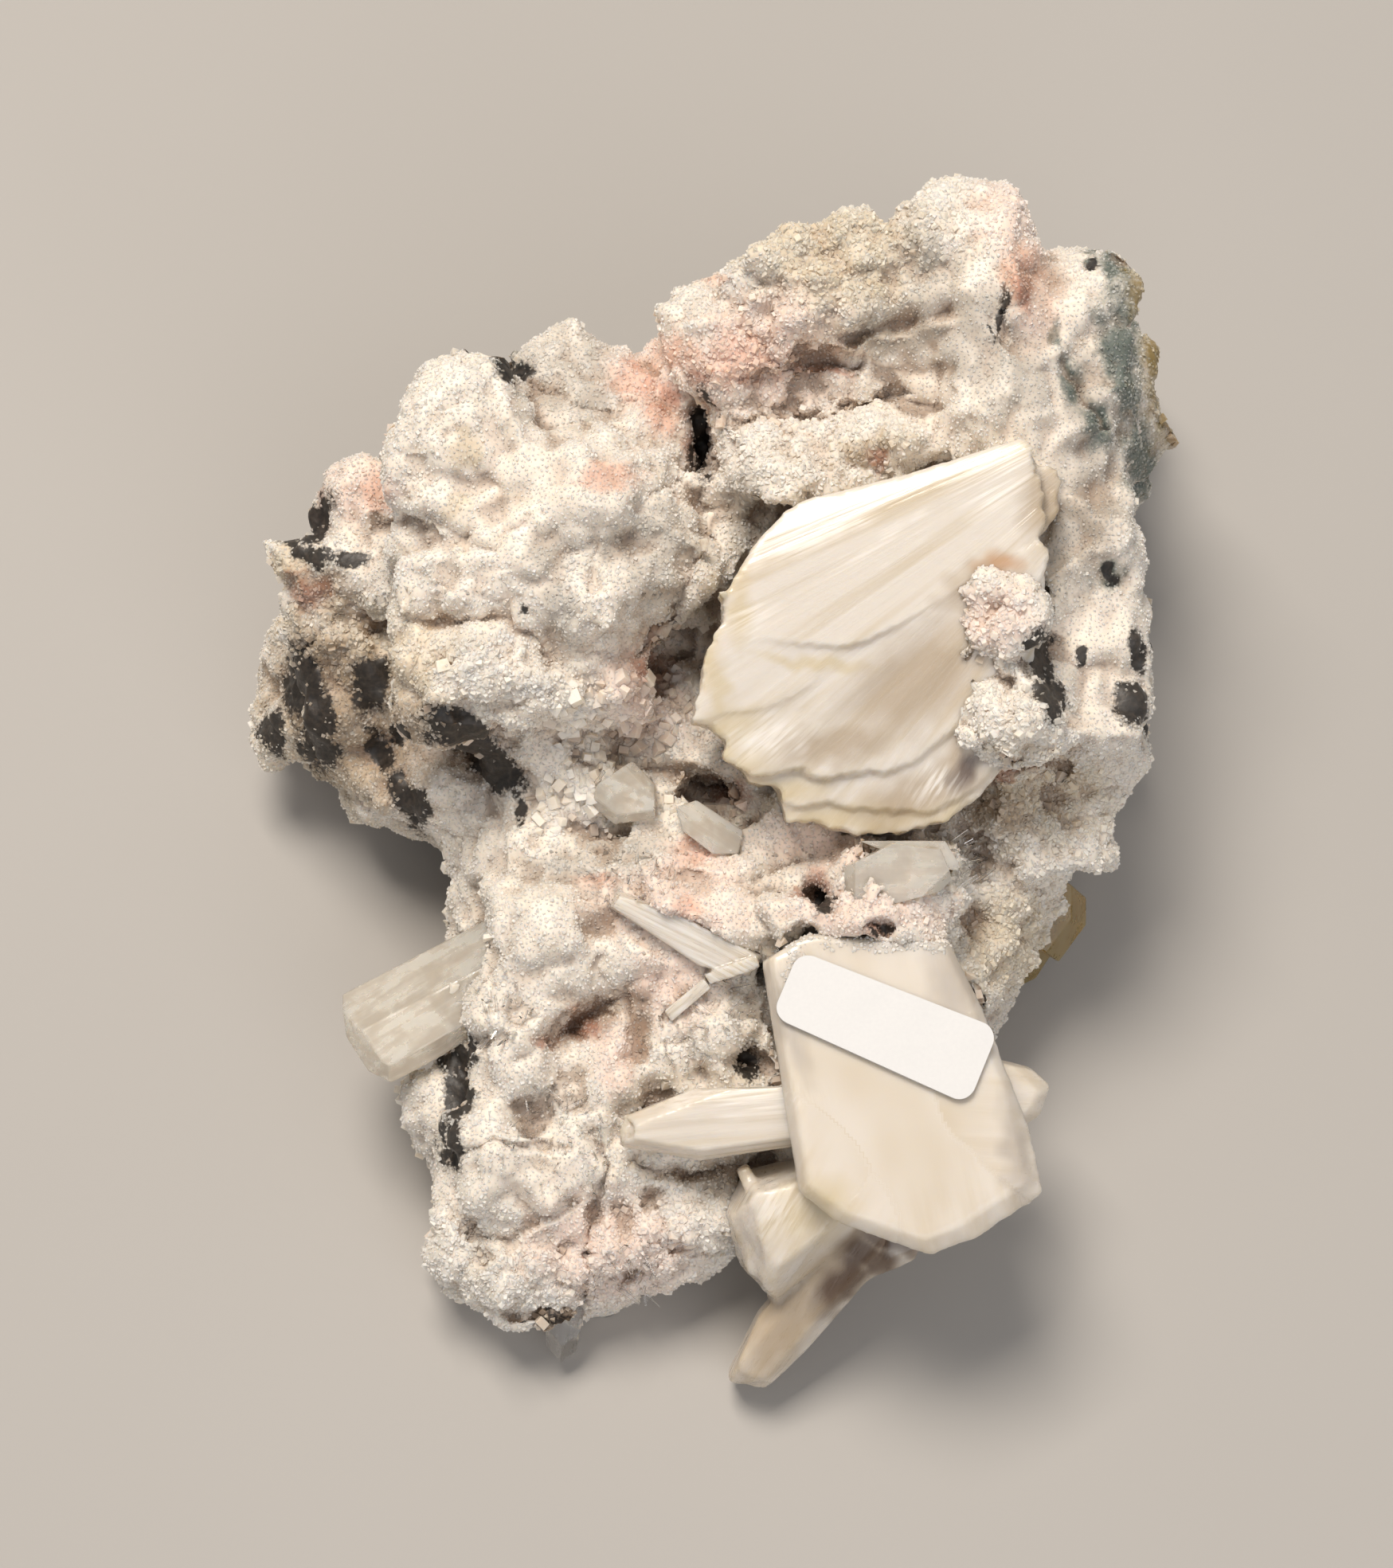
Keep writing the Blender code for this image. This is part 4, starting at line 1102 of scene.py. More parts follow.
# %% [markdown]
# ## The marks on the rock's points
# On the side that is seen, each mark follows its patches, with edges made ragged by random wandering. The
# hidden sides have no patches, so blotches of noise say where basalt, blush and grey crust lie there, and
# the rest is tan. The values are stored on the rock's points, where the materials and the scattering of
# crystals can read them.

# %% The marks on the rock's points
EDGE_SHIFT = 0.9
EDGE_SHIFT_WIDTH = 2.6
FINE_SHIFT = 0.5
FINE_SHIFT_WIDTH = 0.9
# how squarely a point looks at the viewer, from where its patches start to show to where they show in full
SEEN_FACING = (-0.25, 0.1)
BLOTCH_MM = 9
BLOTCH_RAGGED = 0.08
HIDDEN_BASALT = (0.12, 0.42)
HIDDEN_BLUSH = (0.2, 0.5)
HIDDEN_GREY = (0.0, 0.3)
HIDDEN_TAN = 0.7
HIDDEN_EARTH_SHADE = 0.25
HIDDEN_COARSE = 0.6


def paint_rock(mesh):
    """Stores where each kind of crust and the painted shade lie: by patches on the display side, by noise on
    the hidden sides.
    """
    points = points_of(mesh)
    shift = wander(points / MM, EDGE_SHIFT_WIDTH, EDGE_SHIFT)
    shift += wander(points / MM, FINE_SHIFT_WIDTH, FINE_SHIFT)
    seen = seen_from(points) + shift[:, :2]
    facing = normals_of(mesh) @ np.array(FACE_OUTWARD)
    front = smoothstep(facing, *SEEN_FACING)
    blotches = np.array([noise.noise(Vector(p) / (BLOTCH_MM * MM)) for p in points])
    blotches += shift[:, 2] * BLOTCH_RAGGED
    hidden = 1 - front
    layers = {
        "basalt": front * painted(seen, BARE_BASALT) + hidden * smoothstep(blotches, *HIDDEN_BASALT),
        "rust": front * painted(seen, RUST),
        "green": front * painted(seen, GREEN),
        "ochre": painted(seen, OCHRE),
        "salmon": front * painted(seen, SALMON),
        "blush": front * painted(seen, BLUSH) + hidden * smoothstep(-blotches, *HIDDEN_BLUSH),
        # grey crust, and painted shade on shaded walls and hollows
        "grey": front * painted(seen, GREY_AND_SHADE) + hidden * smoothstep(-blotches, *HIDDEN_GREY),
        "tan": np.maximum(front * painted(seen, TAN), hidden * HIDDEN_TAN),
        # painted shade: brown where shade falls on the seen side, and faint on the hidden sides
        "earth": np.maximum(front * painted(seen, EARTH_SHADE), hidden * HIDDEN_EARTH_SHADE),
        "coarse": np.maximum(front * painted(seen, COARSE), hidden * HIDDEN_COARSE),
        "calm": front * painted(seen, CALM),
    }
    for name, values in layers.items():
        store(mesh, name, values)
    return facing


facing = paint_rock(rock.data)
print("share of the rock that faces the viewer:", round(float((facing > 0).mean()), 2))

# %% [markdown]
# ## The rock's relief
# Druse grows as rounded knots a few millimetres wide, and each knot is a crowd of grains. The knots could
# be sculpted, but a rule makes them: the distance to the nearest of many random points, squared, gives a
# field of round knots with creases between them. A Geometry Nodes tree moves each point along its normal
# by three such fields, for lumps, knots and granules. The patches make the relief stronger in coarse
# crust and calmer on smooth walls.

# %% The rock's relief
RELIEF = {
    "Lump width": 4.8,
    "Lump height": 1.8,
    "Knot width": 1.9,
    "Knot height": 0.95,
    "Granule width": 0.95,
    "Granule height": 0.6,
    "Roughness width": 1.2,
    "Roughness height": 1.1,
}
# each field's height on plain crust, as a share of the height above, and what coarse crust adds to it
RELIEF_SHARES = {"Lump": (0.75, 0.35), "Knot": (0.35, 0.65), "Granule": (0.25, 0.65)}
CALMED = 0.6
BUMP_TOP = 0.3
SWIRL = 2.4
SWIRLS_PER_METRE = 260.0


def new_tree(name, inputs):
    """A Geometry Nodes tree with a mesh in, a mesh out, and inputs given as names with socket types."""
    tree = bpy.data.node_groups.new(name, "GeometryNodeTree")
    tree.interface.new_socket("Mesh", in_out="INPUT", socket_type="NodeSocketGeometry")
    for label, kind in inputs.items():
        tree.interface.new_socket(label, in_out="INPUT", socket_type=kind)
    tree.interface.new_socket("Mesh", in_out="OUTPUT", socket_type="NodeSocketGeometry")
    return tree, add_node(tree, "NodeGroupInput").outputs


def rounded_field(tree, place, width):
    """A field of round bumps of that width: BUMP_TOP on a bump's top, below 0 in the creases between them."""
    per_metre = add_node(tree, "ShaderNodeMath", {0: 1.0, 1: width}, operation="DIVIDE")
    cells = add_node(tree, "ShaderNodeTexVoronoi", {"Vector": place, "Scale": per_metre}, feature="F1")
    squared = add_node(tree, "ShaderNodeMath", {0: cells, 1: cells}, operation="MULTIPLY")
    return add_node(tree, "ShaderNodeMath", {0: BUMP_TOP, 1: squared}, operation="SUBTRACT")


def rock_relief():
    """Moves the rock's points along their normals by three fields of bumps and one of plain roughness."""
    tree, given = new_tree("rock relief", {label: "NodeSocketFloat" for label in RELIEF})
    place = add_node(tree, "GeometryNodeInputPosition")
    swirl = add_node(
        tree, "ShaderNodeTexNoise", {"Vector": place, "Scale": SWIRLS_PER_METRE, "Detail": 2.0}
    )
    centred = add_node(
        tree, "ShaderNodeVectorMath", {0: swirl.outputs["Color"], 1: (0.5, 0.5, 0.5)}, operation="SUBTRACT"
    )
    shift = add_node(tree, "ShaderNodeVectorMath", {0: centred, 3: SWIRL * MM}, operation="SCALE")
    warped = add_node(tree, "ShaderNodeVectorMath", {0: place, 1: shift}, operation="ADD")
    coarse = add_node(tree, "GeometryNodeInputNamedAttribute", {"Name": "coarse"}, data_type="FLOAT")
    calm = add_node(tree, "GeometryNodeInputNamedAttribute", {"Name": "calm"}, data_type="FLOAT")
    amount = 0.0
    for field, (least, gain) in RELIEF_SHARES.items():
        bumps = rounded_field(tree, warped, given[f"{field} width"])
        share = add_node(tree, "ShaderNodeMath", {0: coarse, 1: gain, 2: least}, operation="MULTIPLY_ADD")
        shared = add_node(tree, "ShaderNodeMath", {0: bumps, 1: share}, operation="MULTIPLY")
        raised = add_node(
            tree, "ShaderNodeMath", {0: shared, 1: given[f"{field} height"]}, operation="MULTIPLY"
        )
        amount = add_node(tree, "ShaderNodeMath", {0: amount, 1: raised}, operation="ADD")
    per_metre = add_node(tree, "ShaderNodeMath", {0: 1.0, 1: given["Roughness width"]}, operation="DIVIDE")
    rough = add_node(tree, "ShaderNodeTexNoise", {"Vector": place, "Scale": per_metre, "Detail": 4.0})
    level = add_node(tree, "ShaderNodeMath", {0: rough, 1: 0.5}, operation="SUBTRACT")
    amount = add_node(
        tree,
        "ShaderNodeMath",
        {0: level, 1: given["Roughness height"], 2: amount},
        operation="MULTIPLY_ADD",
    )
    ease = add_node(tree, "ShaderNodeMath", {0: calm, 1: -CALMED, 2: 1.0}, operation="MULTIPLY_ADD")
    amount = add_node(tree, "ShaderNodeMath", {0: amount, 1: ease}, operation="MULTIPLY")
    normal = add_node(tree, "GeometryNodeInputNormal")
    move = add_node(tree, "ShaderNodeVectorMath", {0: normal, 3: amount}, operation="SCALE")
    moved = add_node(tree, "GeometryNodeSetPosition", {"Geometry": given["Mesh"], "Offset": move})
    add_node(tree, "NodeGroupOutput", {"Mesh": moved})
    return tree


run_tree(rock, rock_relief(), {label: size * MM for label, size in RELIEF.items()})
print("rock relief on", len(rock.data.vertices), "points")

# %% [markdown]
# ## Crystals rooted in the crust
# In the solids each crystal stands clear of the rock by 0.3 mm, in a socket. On the real piece the crust
# grows right up against them. So each rock point near a crystal is moved onto it, and a little way in.

# %% Crystals rooted in the crust
CRYSTALS = [name for name in sorted(frame["nodes"]) if name not in ("matrix", "label")]
SOCKET_REACH = 0.8
MOVED_WHOLLY = 0.4
PULL = 1.3
ROOTED = 0.12


def close_sockets(mesh):
    """Moves the rock's points that are near a crystal onto its surface, and a little way in."""
    points = points_of(mesh)
    reach = SOCKET_REACH * MM
    closed = 0
    for name in CRYSTALS:
        low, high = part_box(name)
        near = np.all((points > np.array(low) - reach) & (points < np.array(high) + reach), axis=1)
        solid = frame["nodes"][name].data
        tree = BVHTree.FromPolygons([v.co for v in solid.vertices], [p.vertices[:] for p in solid.polygons])
        for index in np.flatnonzero(near):
            place, outward, _, distance = tree.find_nearest(Vector(points[index]), reach)
            if place is None or (Vector(points[index]) - place).dot(outward) < 0:
                continue
            share = 1 - max(0.0, (distance / MM - MOVED_WHOLLY) / (SOCKET_REACH - MOVED_WHOLLY))
            goal = place - outward * ROOTED * MM
            points[index] = Vector(points[index]).lerp(goal, min(1.0, share * PULL))
            closed += 1
    set_points(mesh, points)
    return closed


print("points moved onto crystals:", close_sockets(rock.data))

# %% [markdown]
# ## Painted shade in the hollows, and the far side
# The finish darkens the hollows with painted shade, mixed with some brown stain. Each point is compared
# with its surroundings, which are averaged over a few rounds for the narrow creases and over many for the
# wide hollows. Then the far side is thinned, because nobody looks at it from close by, and the front keeps
# every point. Points under the table's level are lifted to it.

# %% Hollows and the far side
ROCK_TRIANGLES = 190_000
KEPT_FACING = (-0.45, -0.1)
HOLLOW_SHADE_LEVELS = (
    # rounds of averaging, the depths in millimetres over which the painted shade grows, and its share
    (12, -0.02, 0.22, 0.5),
    (90, 0.1, 1.2, 0.4),
)


def thin_far_side(obj, facing_out, triangles):
    """Collapses edges where the rock faces away from the viewer, until that many triangles are left."""
    group = obj.vertex_groups.new(name="far side")
    levels = np.round(1 - smoothstep(facing_out, *KEPT_FACING), 1)
    for level in np.unique(levels):
        if level > 0:
            group.add(np.flatnonzero(levels == level).tolist(), float(level), "REPLACE")
    collapse = obj.modifiers.new("thin far side", "DECIMATE")
    collapse.ratio = min(1.0, triangles / triangles_in(obj))
    collapse.vertex_group = group.name
    settle(obj)
    obj.vertex_groups.clear()


def hollowness(mesh, rounds):
    """How far each point lies below its surroundings, in millimetres: above 0 in hollows, below 0 on tops."""
    points = points_of(mesh)
    ends = np.empty(len(mesh.edges) * 2, np.int32)
    mesh.edges.foreach_get("vertices", ends)
    first, second = ends[0::2], ends[1::2]
    neighbours = np.bincount(ends, minlength=len(points))
    smooth = points.copy()
    for _ in range(rounds):
        for axis in range(3):
            around = np.bincount(first, smooth[second, axis], len(points))
            around += np.bincount(second, smooth[first, axis], len(points))
            smooth[:, axis] = around / neighbours
    return np.sum((smooth - points) * normals_of(mesh), axis=1) / MM


# painted shade, with some brown stain: how deep each point lies in a narrow crease or a wide hollow
hollow = sum(
    smoothstep(hollowness(rock.data, rounds), least, most) * share for rounds, least, most, share in HOLLOW_SHADE_LEVELS
)
store(rock.data, "hollow", hollow)
print("rock before thinning:", triangles_in(rock), "triangles")
thin_far_side(rock, normals_of(rock.data) @ np.array(FACE_OUTWARD), ROCK_TRIANGLES)
above_table(rock.data)
print("rock:", triangles_in(rock), "triangles")

# %% [markdown]
# ## The druse
# The crust's sparkle comes from thousands of separate grains, each a stubby crystal under a millimetre
# long. Three shapes with 6 to 12 faces are enough, because random sizes and turns hide the repeats.
# Geometry Nodes spread points evenly over the rock, put a grain on each, and make them real. The points
# carry the rock's stored marks, so the grains take its colours. One piece for each part of the rock keeps
# every piece under 200,000 triangles.

# %% The grains' shapes
GRAIN_ROOT = -0.35
GRAIN_SHAPES = bpy.data.collections.new("grain shapes")
BLADE_SHAPES = bpy.data.collections.new("small blade shapes")


def grain_shape(group, name, width, depth, height, top_width, top_depth, lean):
    """A closed block with a narrower top, which is an edge or a point where its depth or width is 0."""
    bm = bmesh.new()
    bmesh.ops.create_cube(bm, size=1.0)
    for vertex in bm.verts:
        upper = vertex.co.z > 0
        vertex.co.x *= top_width if upper else width
        vertex.co.y *= top_depth if upper else depth
        vertex.co.x += lean if upper else 0.0
        vertex.co.z = height if upper else GRAIN_ROOT
    bmesh.ops.remove_doubles(bm, verts=bm.verts, dist=0.0001)
    bmesh.ops.triangulate(bm, faces=bm.faces)
    mesh = bpy.data.meshes.new(name)
    bm.to_mesh(mesh)
    bm.free()
    group.objects.link(bpy.data.objects.new(name, mesh))
    return len(mesh.polygons)


for row in (
    # group, name, width, depth, height, width and depth of the top, and how far the top leans
    (GRAIN_SHAPES, "blocky grain", 0.9, 0.8, 0.30, 0.7, 0.6, 0.06),
    (GRAIN_SHAPES, "roofed grain", 0.9, 0.8, 0.36, 0.7, 0.0, 0.0),
    (GRAIN_SHAPES, "pointed grain", 0.9, 0.9, 0.36, 0.0, 0.0, 0.06),
    (BLADE_SHAPES, "square-ended blade", 0.34, 0.12, 1.2, 0.30, 0.10, 0.0),
    (BLADE_SHAPES, "pointed blade", 0.40, 0.12, 1.5, 0.14, 0.06, 0.05),
):
    print(row[1], "has", grain_shape(*row), "triangles")

# %% [markdown]
# ## Scattering the grains
# The tree spreads points with a least distance between them, then sets a grain on each, turned and sized
# at random. Coarse crust has larger grains and calm crust smaller ones. The grains sit deep, so that only
# their tops show, as they do where crystals grow shoulder to shoulder. The finest real grains are smaller
# than these, but the number of triangles sets a limit.

# %% Scattering the grains
GRAIN_SPACING = 0.31
GRAIN_LEAST = 0.22
GRAIN_MOST = 0.52
GRAIN_TILT_DEG = 38.0
DENSITY_BEFORE_SPACING = 3.0e7
LEAST_STRETCH = (0.75, 0.75, 0.7)
MOST_STRETCH = (1.15, 1.15, 1.35)
SPREAD_SEED = 7
TINT_SEED = 31
TURN_SEED = 11
SIZE_SEED = 23
STRETCH_SEED = 5
PLAIN_GRAIN = 0.9
COARSE_GAIN = 0.2
CALM_LOSS = 0.25


def druse_scatter():
    """Scatters several small shapes over one zone of a mesh, each turned and sized at random."""
    inputs = {
        "Zone": "NodeSocketInt",
        "Spacing": "NodeSocketFloat",
        "Least size": "NodeSocketFloat",
        "Most size": "NodeSocketFloat",
        "Shapes": "NodeSocketCollection",
        "Finish": "NodeSocketMaterial",
    }
    tree, given = new_tree("druse scatter", inputs)
    zone, bare, coarse, calm = (
        add_node(tree, "GeometryNodeInputNamedAttribute", {"Name": name}, data_type="FLOAT")
        for name in ("zone", "bare", "coarse", "calm")
    )
    here = add_node(
        tree,
        "FunctionNodeCompare",
        {0: zone, 1: given["Zone"], "Epsilon": 0.5},
        operation="EQUAL",
        data_type="FLOAT",
    )
    covered = add_node(tree, "ShaderNodeMath", {0: 1.0, 1: bare}, operation="SUBTRACT")
    crust = add_node(tree, "ShaderNodeMath", {0: covered, 1: 0.0}, operation="MAXIMUM")
    spread = add_node(
        tree,
        "GeometryNodeDistributePointsOnFaces",
        {
            "Mesh": given["Mesh"],
            "Selection": here,
            "Distance Min": given["Spacing"],
            "Density Max": DENSITY_BEFORE_SPACING,
            "Density Factor": crust,
            "Seed": SPREAD_SEED,
        },
        distribute_method="POISSON",
    )
    tint = add_node(tree, "FunctionNodeRandomValue", {8: TINT_SEED}, data_type="FLOAT")
    tinted = add_node(
        tree,
        "GeometryNodeStoreNamedAttribute",
        {"Geometry": spread, "Name": "grain tint", "Value": tint},
        data_type="FLOAT",
        domain="POINT",
    )
    tilt = math.radians(GRAIN_TILT_DEG)
    angles = add_node(
        tree,
        "FunctionNodeRandomValue",
        {0: (-tilt, -tilt, 0.0), 1: (tilt, tilt, 2 * math.pi), 8: TURN_SEED},
        data_type="FLOAT_VECTOR",
    )
    turn = add_node(tree, "FunctionNodeEulerToRotation", {0: angles})
    way = add_node(
        tree, "FunctionNodeRotateRotation", {0: spread.outputs["Rotation"], 1: turn}, rotation_space="LOCAL"
    )
    drawn = add_node(
        tree,
        "FunctionNodeRandomValue",
        {2: given["Least size"], 3: given["Most size"], 8: SIZE_SEED},
        data_type="FLOAT",
    )
    larger = add_node(
        tree, "ShaderNodeMath", {0: coarse, 1: COARSE_GAIN, 2: PLAIN_GRAIN}, operation="MULTIPLY_ADD"
    )
    growth = add_node(tree, "ShaderNodeMath", {0: calm, 1: -CALM_LOSS, 2: larger}, operation="MULTIPLY_ADD")
    size = add_node(tree, "ShaderNodeMath", {0: drawn, 1: growth}, operation="MULTIPLY")
    stretch = add_node(
        tree,
        "FunctionNodeRandomValue",
        {0: LEAST_STRETCH, 1: MOST_STRETCH, 8: STRETCH_SEED},
        data_type="FLOAT_VECTOR",
    )
    shape = add_node(tree, "ShaderNodeVectorMath", {0: stretch, 3: size}, operation="SCALE")
    kinds = add_node(tree, "GeometryNodeCollectionInfo", {0: given["Shapes"], 1: True, 2: True})
    placed = add_node(
        tree,
        "GeometryNodeInstanceOnPoints",
        {"Points": tinted, "Instance": kinds, "Pick Instance": True, "Rotation": way, "Scale": shape},
    )
    real = add_node(tree, "GeometryNodeRealizeInstances", {0: placed})
    finished = add_node(tree, "GeometryNodeSetMaterial", {0: real, "Material": given["Finish"]})
    add_node(tree, "NodeGroupOutput", {"Mesh": finished})
    return tree


scatter_tree = druse_scatter()
print("the scatter has", len(scatter_tree.nodes), "nodes")

# %% [markdown]
# ## Seven parts of the rock
# A piece of more than 200,000 triangles would be thinned in the export, so the grains become seven
# pieces. Each point of the rock gets the number of its part: six lie on the display face, in three rows
# of two, and one is the far side. Fewer grains grow where basalt or ochre earth lies bare, and none right
# above the table.

# %% Seven parts of the rock
DRUSE_ZONES = {
    "druse_top_left": 0,
    "druse_top_right": 1,
    "druse_middle_left": 2,
    "druse_middle_right": 3,
    "druse_foot_left": 4,
    "druse_foot_right": 5,
    "druse_far_side": 6,
}
ZONE_SPLIT_X = (6.0, -4.0, -6.0)
ZONE_SPLIT_Y = (16.0, -6.0)
FAR_SIDE_BELOW = -0.12
BASALT_BARE_FROM = (0.35, 0.8)
BARE_ON_BASALT = 0.94
BARE_ON_OCHRE = 0.5
# heights above the table, in metres, between which the grains end
BARE_BASE = (0.0012, 0.0004)


def mark_zones(mesh):
    """Stores which druse piece each point belongs to, and where no grains grow."""
    points = points_of(mesh)
    local = on_face(points)
    facing_out = normals_of(mesh) @ np.array(FACE_OUTWARD)
    row = (local[:, 1] < ZONE_SPLIT_Y[0]).astype(int) + (local[:, 1] < ZONE_SPLIT_Y[1])
    zone = 2.0 * row + (local[:, 0] > np.array(ZONE_SPLIT_X)[row])
    zone[facing_out < FAR_SIDE_BELOW] = DRUSE_ZONES["druse_far_side"]
    store(mesh, "zone", zone)
    basalt, ochre = (np.empty(len(points), np.float32) for _ in range(2))
    mesh.attributes["basalt"].data.foreach_get("value", basalt)
    mesh.attributes["ochre"].data.foreach_get("value", ochre)
    base = smoothstep(points[:, 2], *BARE_BASE)
    bare = smoothstep(basalt, *BASALT_BARE_FROM) * BARE_ON_BASALT + ochre * BARE_ON_OCHRE + base
    store(mesh, "bare", np.clip(bare, 0, 1))


mark_zones(rock.data)
print("zones:", list(DRUSE_ZONES))

# %% [markdown]
# ## Finish: zeolite druse
# Druse is a crowd of colourless to white crystals. Light enters them and comes out a little further on,
# so the crust glows softly and its shadows are never black: that is subsurface scattering over a little
# less than a millimetre. The stored marks tint it, with fine noise at their edges, because a stain
# follows the grains. Some tints are painted shade: the hollows are darkened with a brown that is partly
# shade and partly stain, the earth shade browns shaded places, and the grey mark is partly shade. Bare
# basalt is the one part that is dull and dark. The same recipe serves the ground between the grains and
# the grains themselves.

# %% Finish: zeolite druse
DRUSE_WHITE = "#F0E7DD"
DRUSE_CREAM = "#E5D9C6"
STAINS_AND_SHADE = (
    ("tan", "#CDBA9C", 0.7),
    # this row is painted shade, a brown tone where shade falls
    ("earth", "#8A7056", 0.7),
    # this row is partly grey crust, partly painted shade
    ("grey", "#B1A89C", 0.68),
    ("blush", "#EFD2C2", 0.62),
    ("salmon", "#DFAA90", 0.64),
    ("rust", "#96604A", 0.75),
    ("green", "#475751", 0.90),
    ("ochre", "#86703A", 0.95),
)
BASALT_DARK = "#16120F"
BASALT_LIGHT = "#3C332B"
# painted shade for the hollows: a brown that is partly shade and partly stain, and a dark shade for the
# deepest
CREASE_SHADE_AND_STAIN = "#A98A70"
DEEPEST_CREASE_SHADE = "#5E4534"
GRAIN_ON_BASALT = "#4C4238"
GRAIN_WHITE = "#FFFAF2"
CLOUD_MM = 2.2
STAIN_GRAIN_MM = 0.35
SPECKLE_MM = 0.5
GRIT_HEIGHT_MM = 0.08
DRUSE_SCATTER_MM = 0.9


def druse_finish(name, basalt_shows):
    """The druse's material. basalt_shows is for the ground, where dark rock lies bare between the grains."""
    made, tree = new_material(name)
    place = add_node(tree, "ShaderNodeTexCoord").outputs["Object"]
    cloud = add_node(
        tree, "ShaderNodeTexNoise", {"Vector": place, "Scale": 1 / (CLOUD_MM * MM), "Detail": 4.0}
    )
    grit = add_node(
        tree, "ShaderNodeTexNoise", {"Vector": place, "Scale": 1 / (STAIN_GRAIN_MM * MM), "Detail": 2.0}
    )
    colour = add_node(
        tree, "ShaderNodeMix", {0: cloud, 6: linear(DRUSE_WHITE), 7: linear(DRUSE_CREAM)}, data_type="RGBA"
    )
    ragged = add_node(tree, "ShaderNodeMath", {0: grit, 1: 0.6, 2: cloud}, operation="MULTIPLY_ADD")
    for tinting_mark, tone, strength in STAINS_AND_SHADE:
        depth = add_node(tree, "ShaderNodeAttribute", attribute_name=tinting_mark).outputs["Fac"]
        frayed = add_node(tree, "ShaderNodeMath", {0: ragged, 1: depth}, operation="ADD")
        share = add_node(
            tree,
            "ShaderNodeMapRange",
            {"Value": frayed, "From Min": 0.95, "From Max": 1.9, "To Max": strength},
            interpolation_type="SMOOTHSTEP",
        )
        colour = add_node(tree, "ShaderNodeMix", {0: share, 6: colour, 7: linear(tone)}, data_type="RGBA")
    # painted shade: the hollows are darkened, the deepest the most, with some brown stain
    hollow = add_node(tree, "ShaderNodeAttribute", attribute_name="hollow").outputs["Fac"]
    uneven = add_node(tree, "ShaderNodeMath", {0: grit, 1: 0.5, 2: 0.35}, operation="MULTIPLY_ADD")
    crease_shade = add_node(tree, "ShaderNodeMath", {0: hollow, 1: uneven}, operation="MULTIPLY")
    colour = add_node(tree, "ShaderNodeMix", {0: crease_shade, 6: colour, 7: linear(CREASE_SHADE_AND_STAIN)}, data_type="RGBA")
    deepest = add_node(
        tree, "ShaderNodeMapRange", {"Value": hollow, "From Min": 0.55, "From Max": 0.9, "To Max": 0.45}
    )
    colour = add_node(
        tree, "ShaderNodeMix", {0: deepest, 6: colour, 7: linear(DEEPEST_CREASE_SHADE)}, data_type="RGBA"
    )
    basalt = add_node(tree, "ShaderNodeAttribute", attribute_name="basalt").outputs["Fac"]
    if basalt_shows:
        fine = add_node(
            tree, "ShaderNodeTexNoise", {"Vector": place, "Scale": 1 / (SPECKLE_MM * MM), "Detail": 5.0}
        )
        speckle = add_node(tree, "ShaderNodeMapRange", {"Value": fine, "From Min": 0.42, "From Max": 0.72})
        dark = add_node(
            tree,
            "ShaderNodeMix",
            {0: speckle, 6: linear(BASALT_DARK), 7: linear(BASALT_LIGHT)},
            data_type="RGBA",
        )
        frayed = add_node(tree, "ShaderNodeMath", {0: grit, 1: 0.9, 2: basalt}, operation="MULTIPLY_ADD")
        share = add_node(
            tree,
            "ShaderNodeMapRange",
            {"Value": frayed, "From Min": 0.72, "From Max": 1.05, "To Max": 0.97},
        )
        colour = add_node(tree, "ShaderNodeMix", {0: share, 6: colour, 7: dark}, data_type="RGBA")
    else:
        tint = add_node(tree, "ShaderNodeAttribute", attribute_name="grain tint").outputs["Fac"]
        for mark, tone, strength in ((basalt, GRAIN_ON_BASALT, 0.7), (tint, GRAIN_WHITE, 0.2)):
            share = add_node(tree, "ShaderNodeMath", {0: mark, 1: strength}, operation="MULTIPLY")
            colour = add_node(
                tree, "ShaderNodeMix", {0: share, 6: colour, 7: linear(tone)}, data_type="RGBA"
            )
    rough = add_node(tree, "ShaderNodeMapRange", {"Value": grit, "To Min": 0.35, "To Max": 0.7})
    bump = add_node(
        tree, "ShaderNodeBump", {"Strength": 0.5, "Distance": GRIT_HEIGHT_MM * MM, "Height": grit}
    )
    shader = add_node(
        tree,
        "ShaderNodeBsdfPrincipled",
        {
            "Base Color": colour,
            "Roughness": rough,
            "IOR": 1.5,
            "Subsurface Weight": 0.6,
            "Subsurface Radius": (1.0, 0.8, 0.6),
            "Subsurface Scale": DRUSE_SCATTER_MM * MM,
            "Normal": bump,
        },
    )
    add_node(tree, "ShaderNodeOutputMaterial", {"Surface": shader})
    return made


ground_finish = druse_finish("zeolite crust over basalt", basalt_shows=True)
grain_finish = druse_finish("zeolite grains", basalt_shows=False)
rock.data.materials.append(ground_finish)
rock.data.polygons.foreach_set("use_smooth", [True] * len(rock.data.polygons))
print("stains:", [row[0] for row in STAINS_AND_SHADE])

# %% [markdown]
# ## The druse pieces
# The scatter runs once for each zone of the rock. On the far side, which nobody looks at from close by,
# the grains are larger and further apart, which saves triangles. The crust also climbs onto the upper
# edge of the large block, so a few grains are scattered there. With a wider spacing the same tree sows
# the larger crystals of the crumbly places, and with other shapes the small clear blades that stand in
# clusters between the lumps.

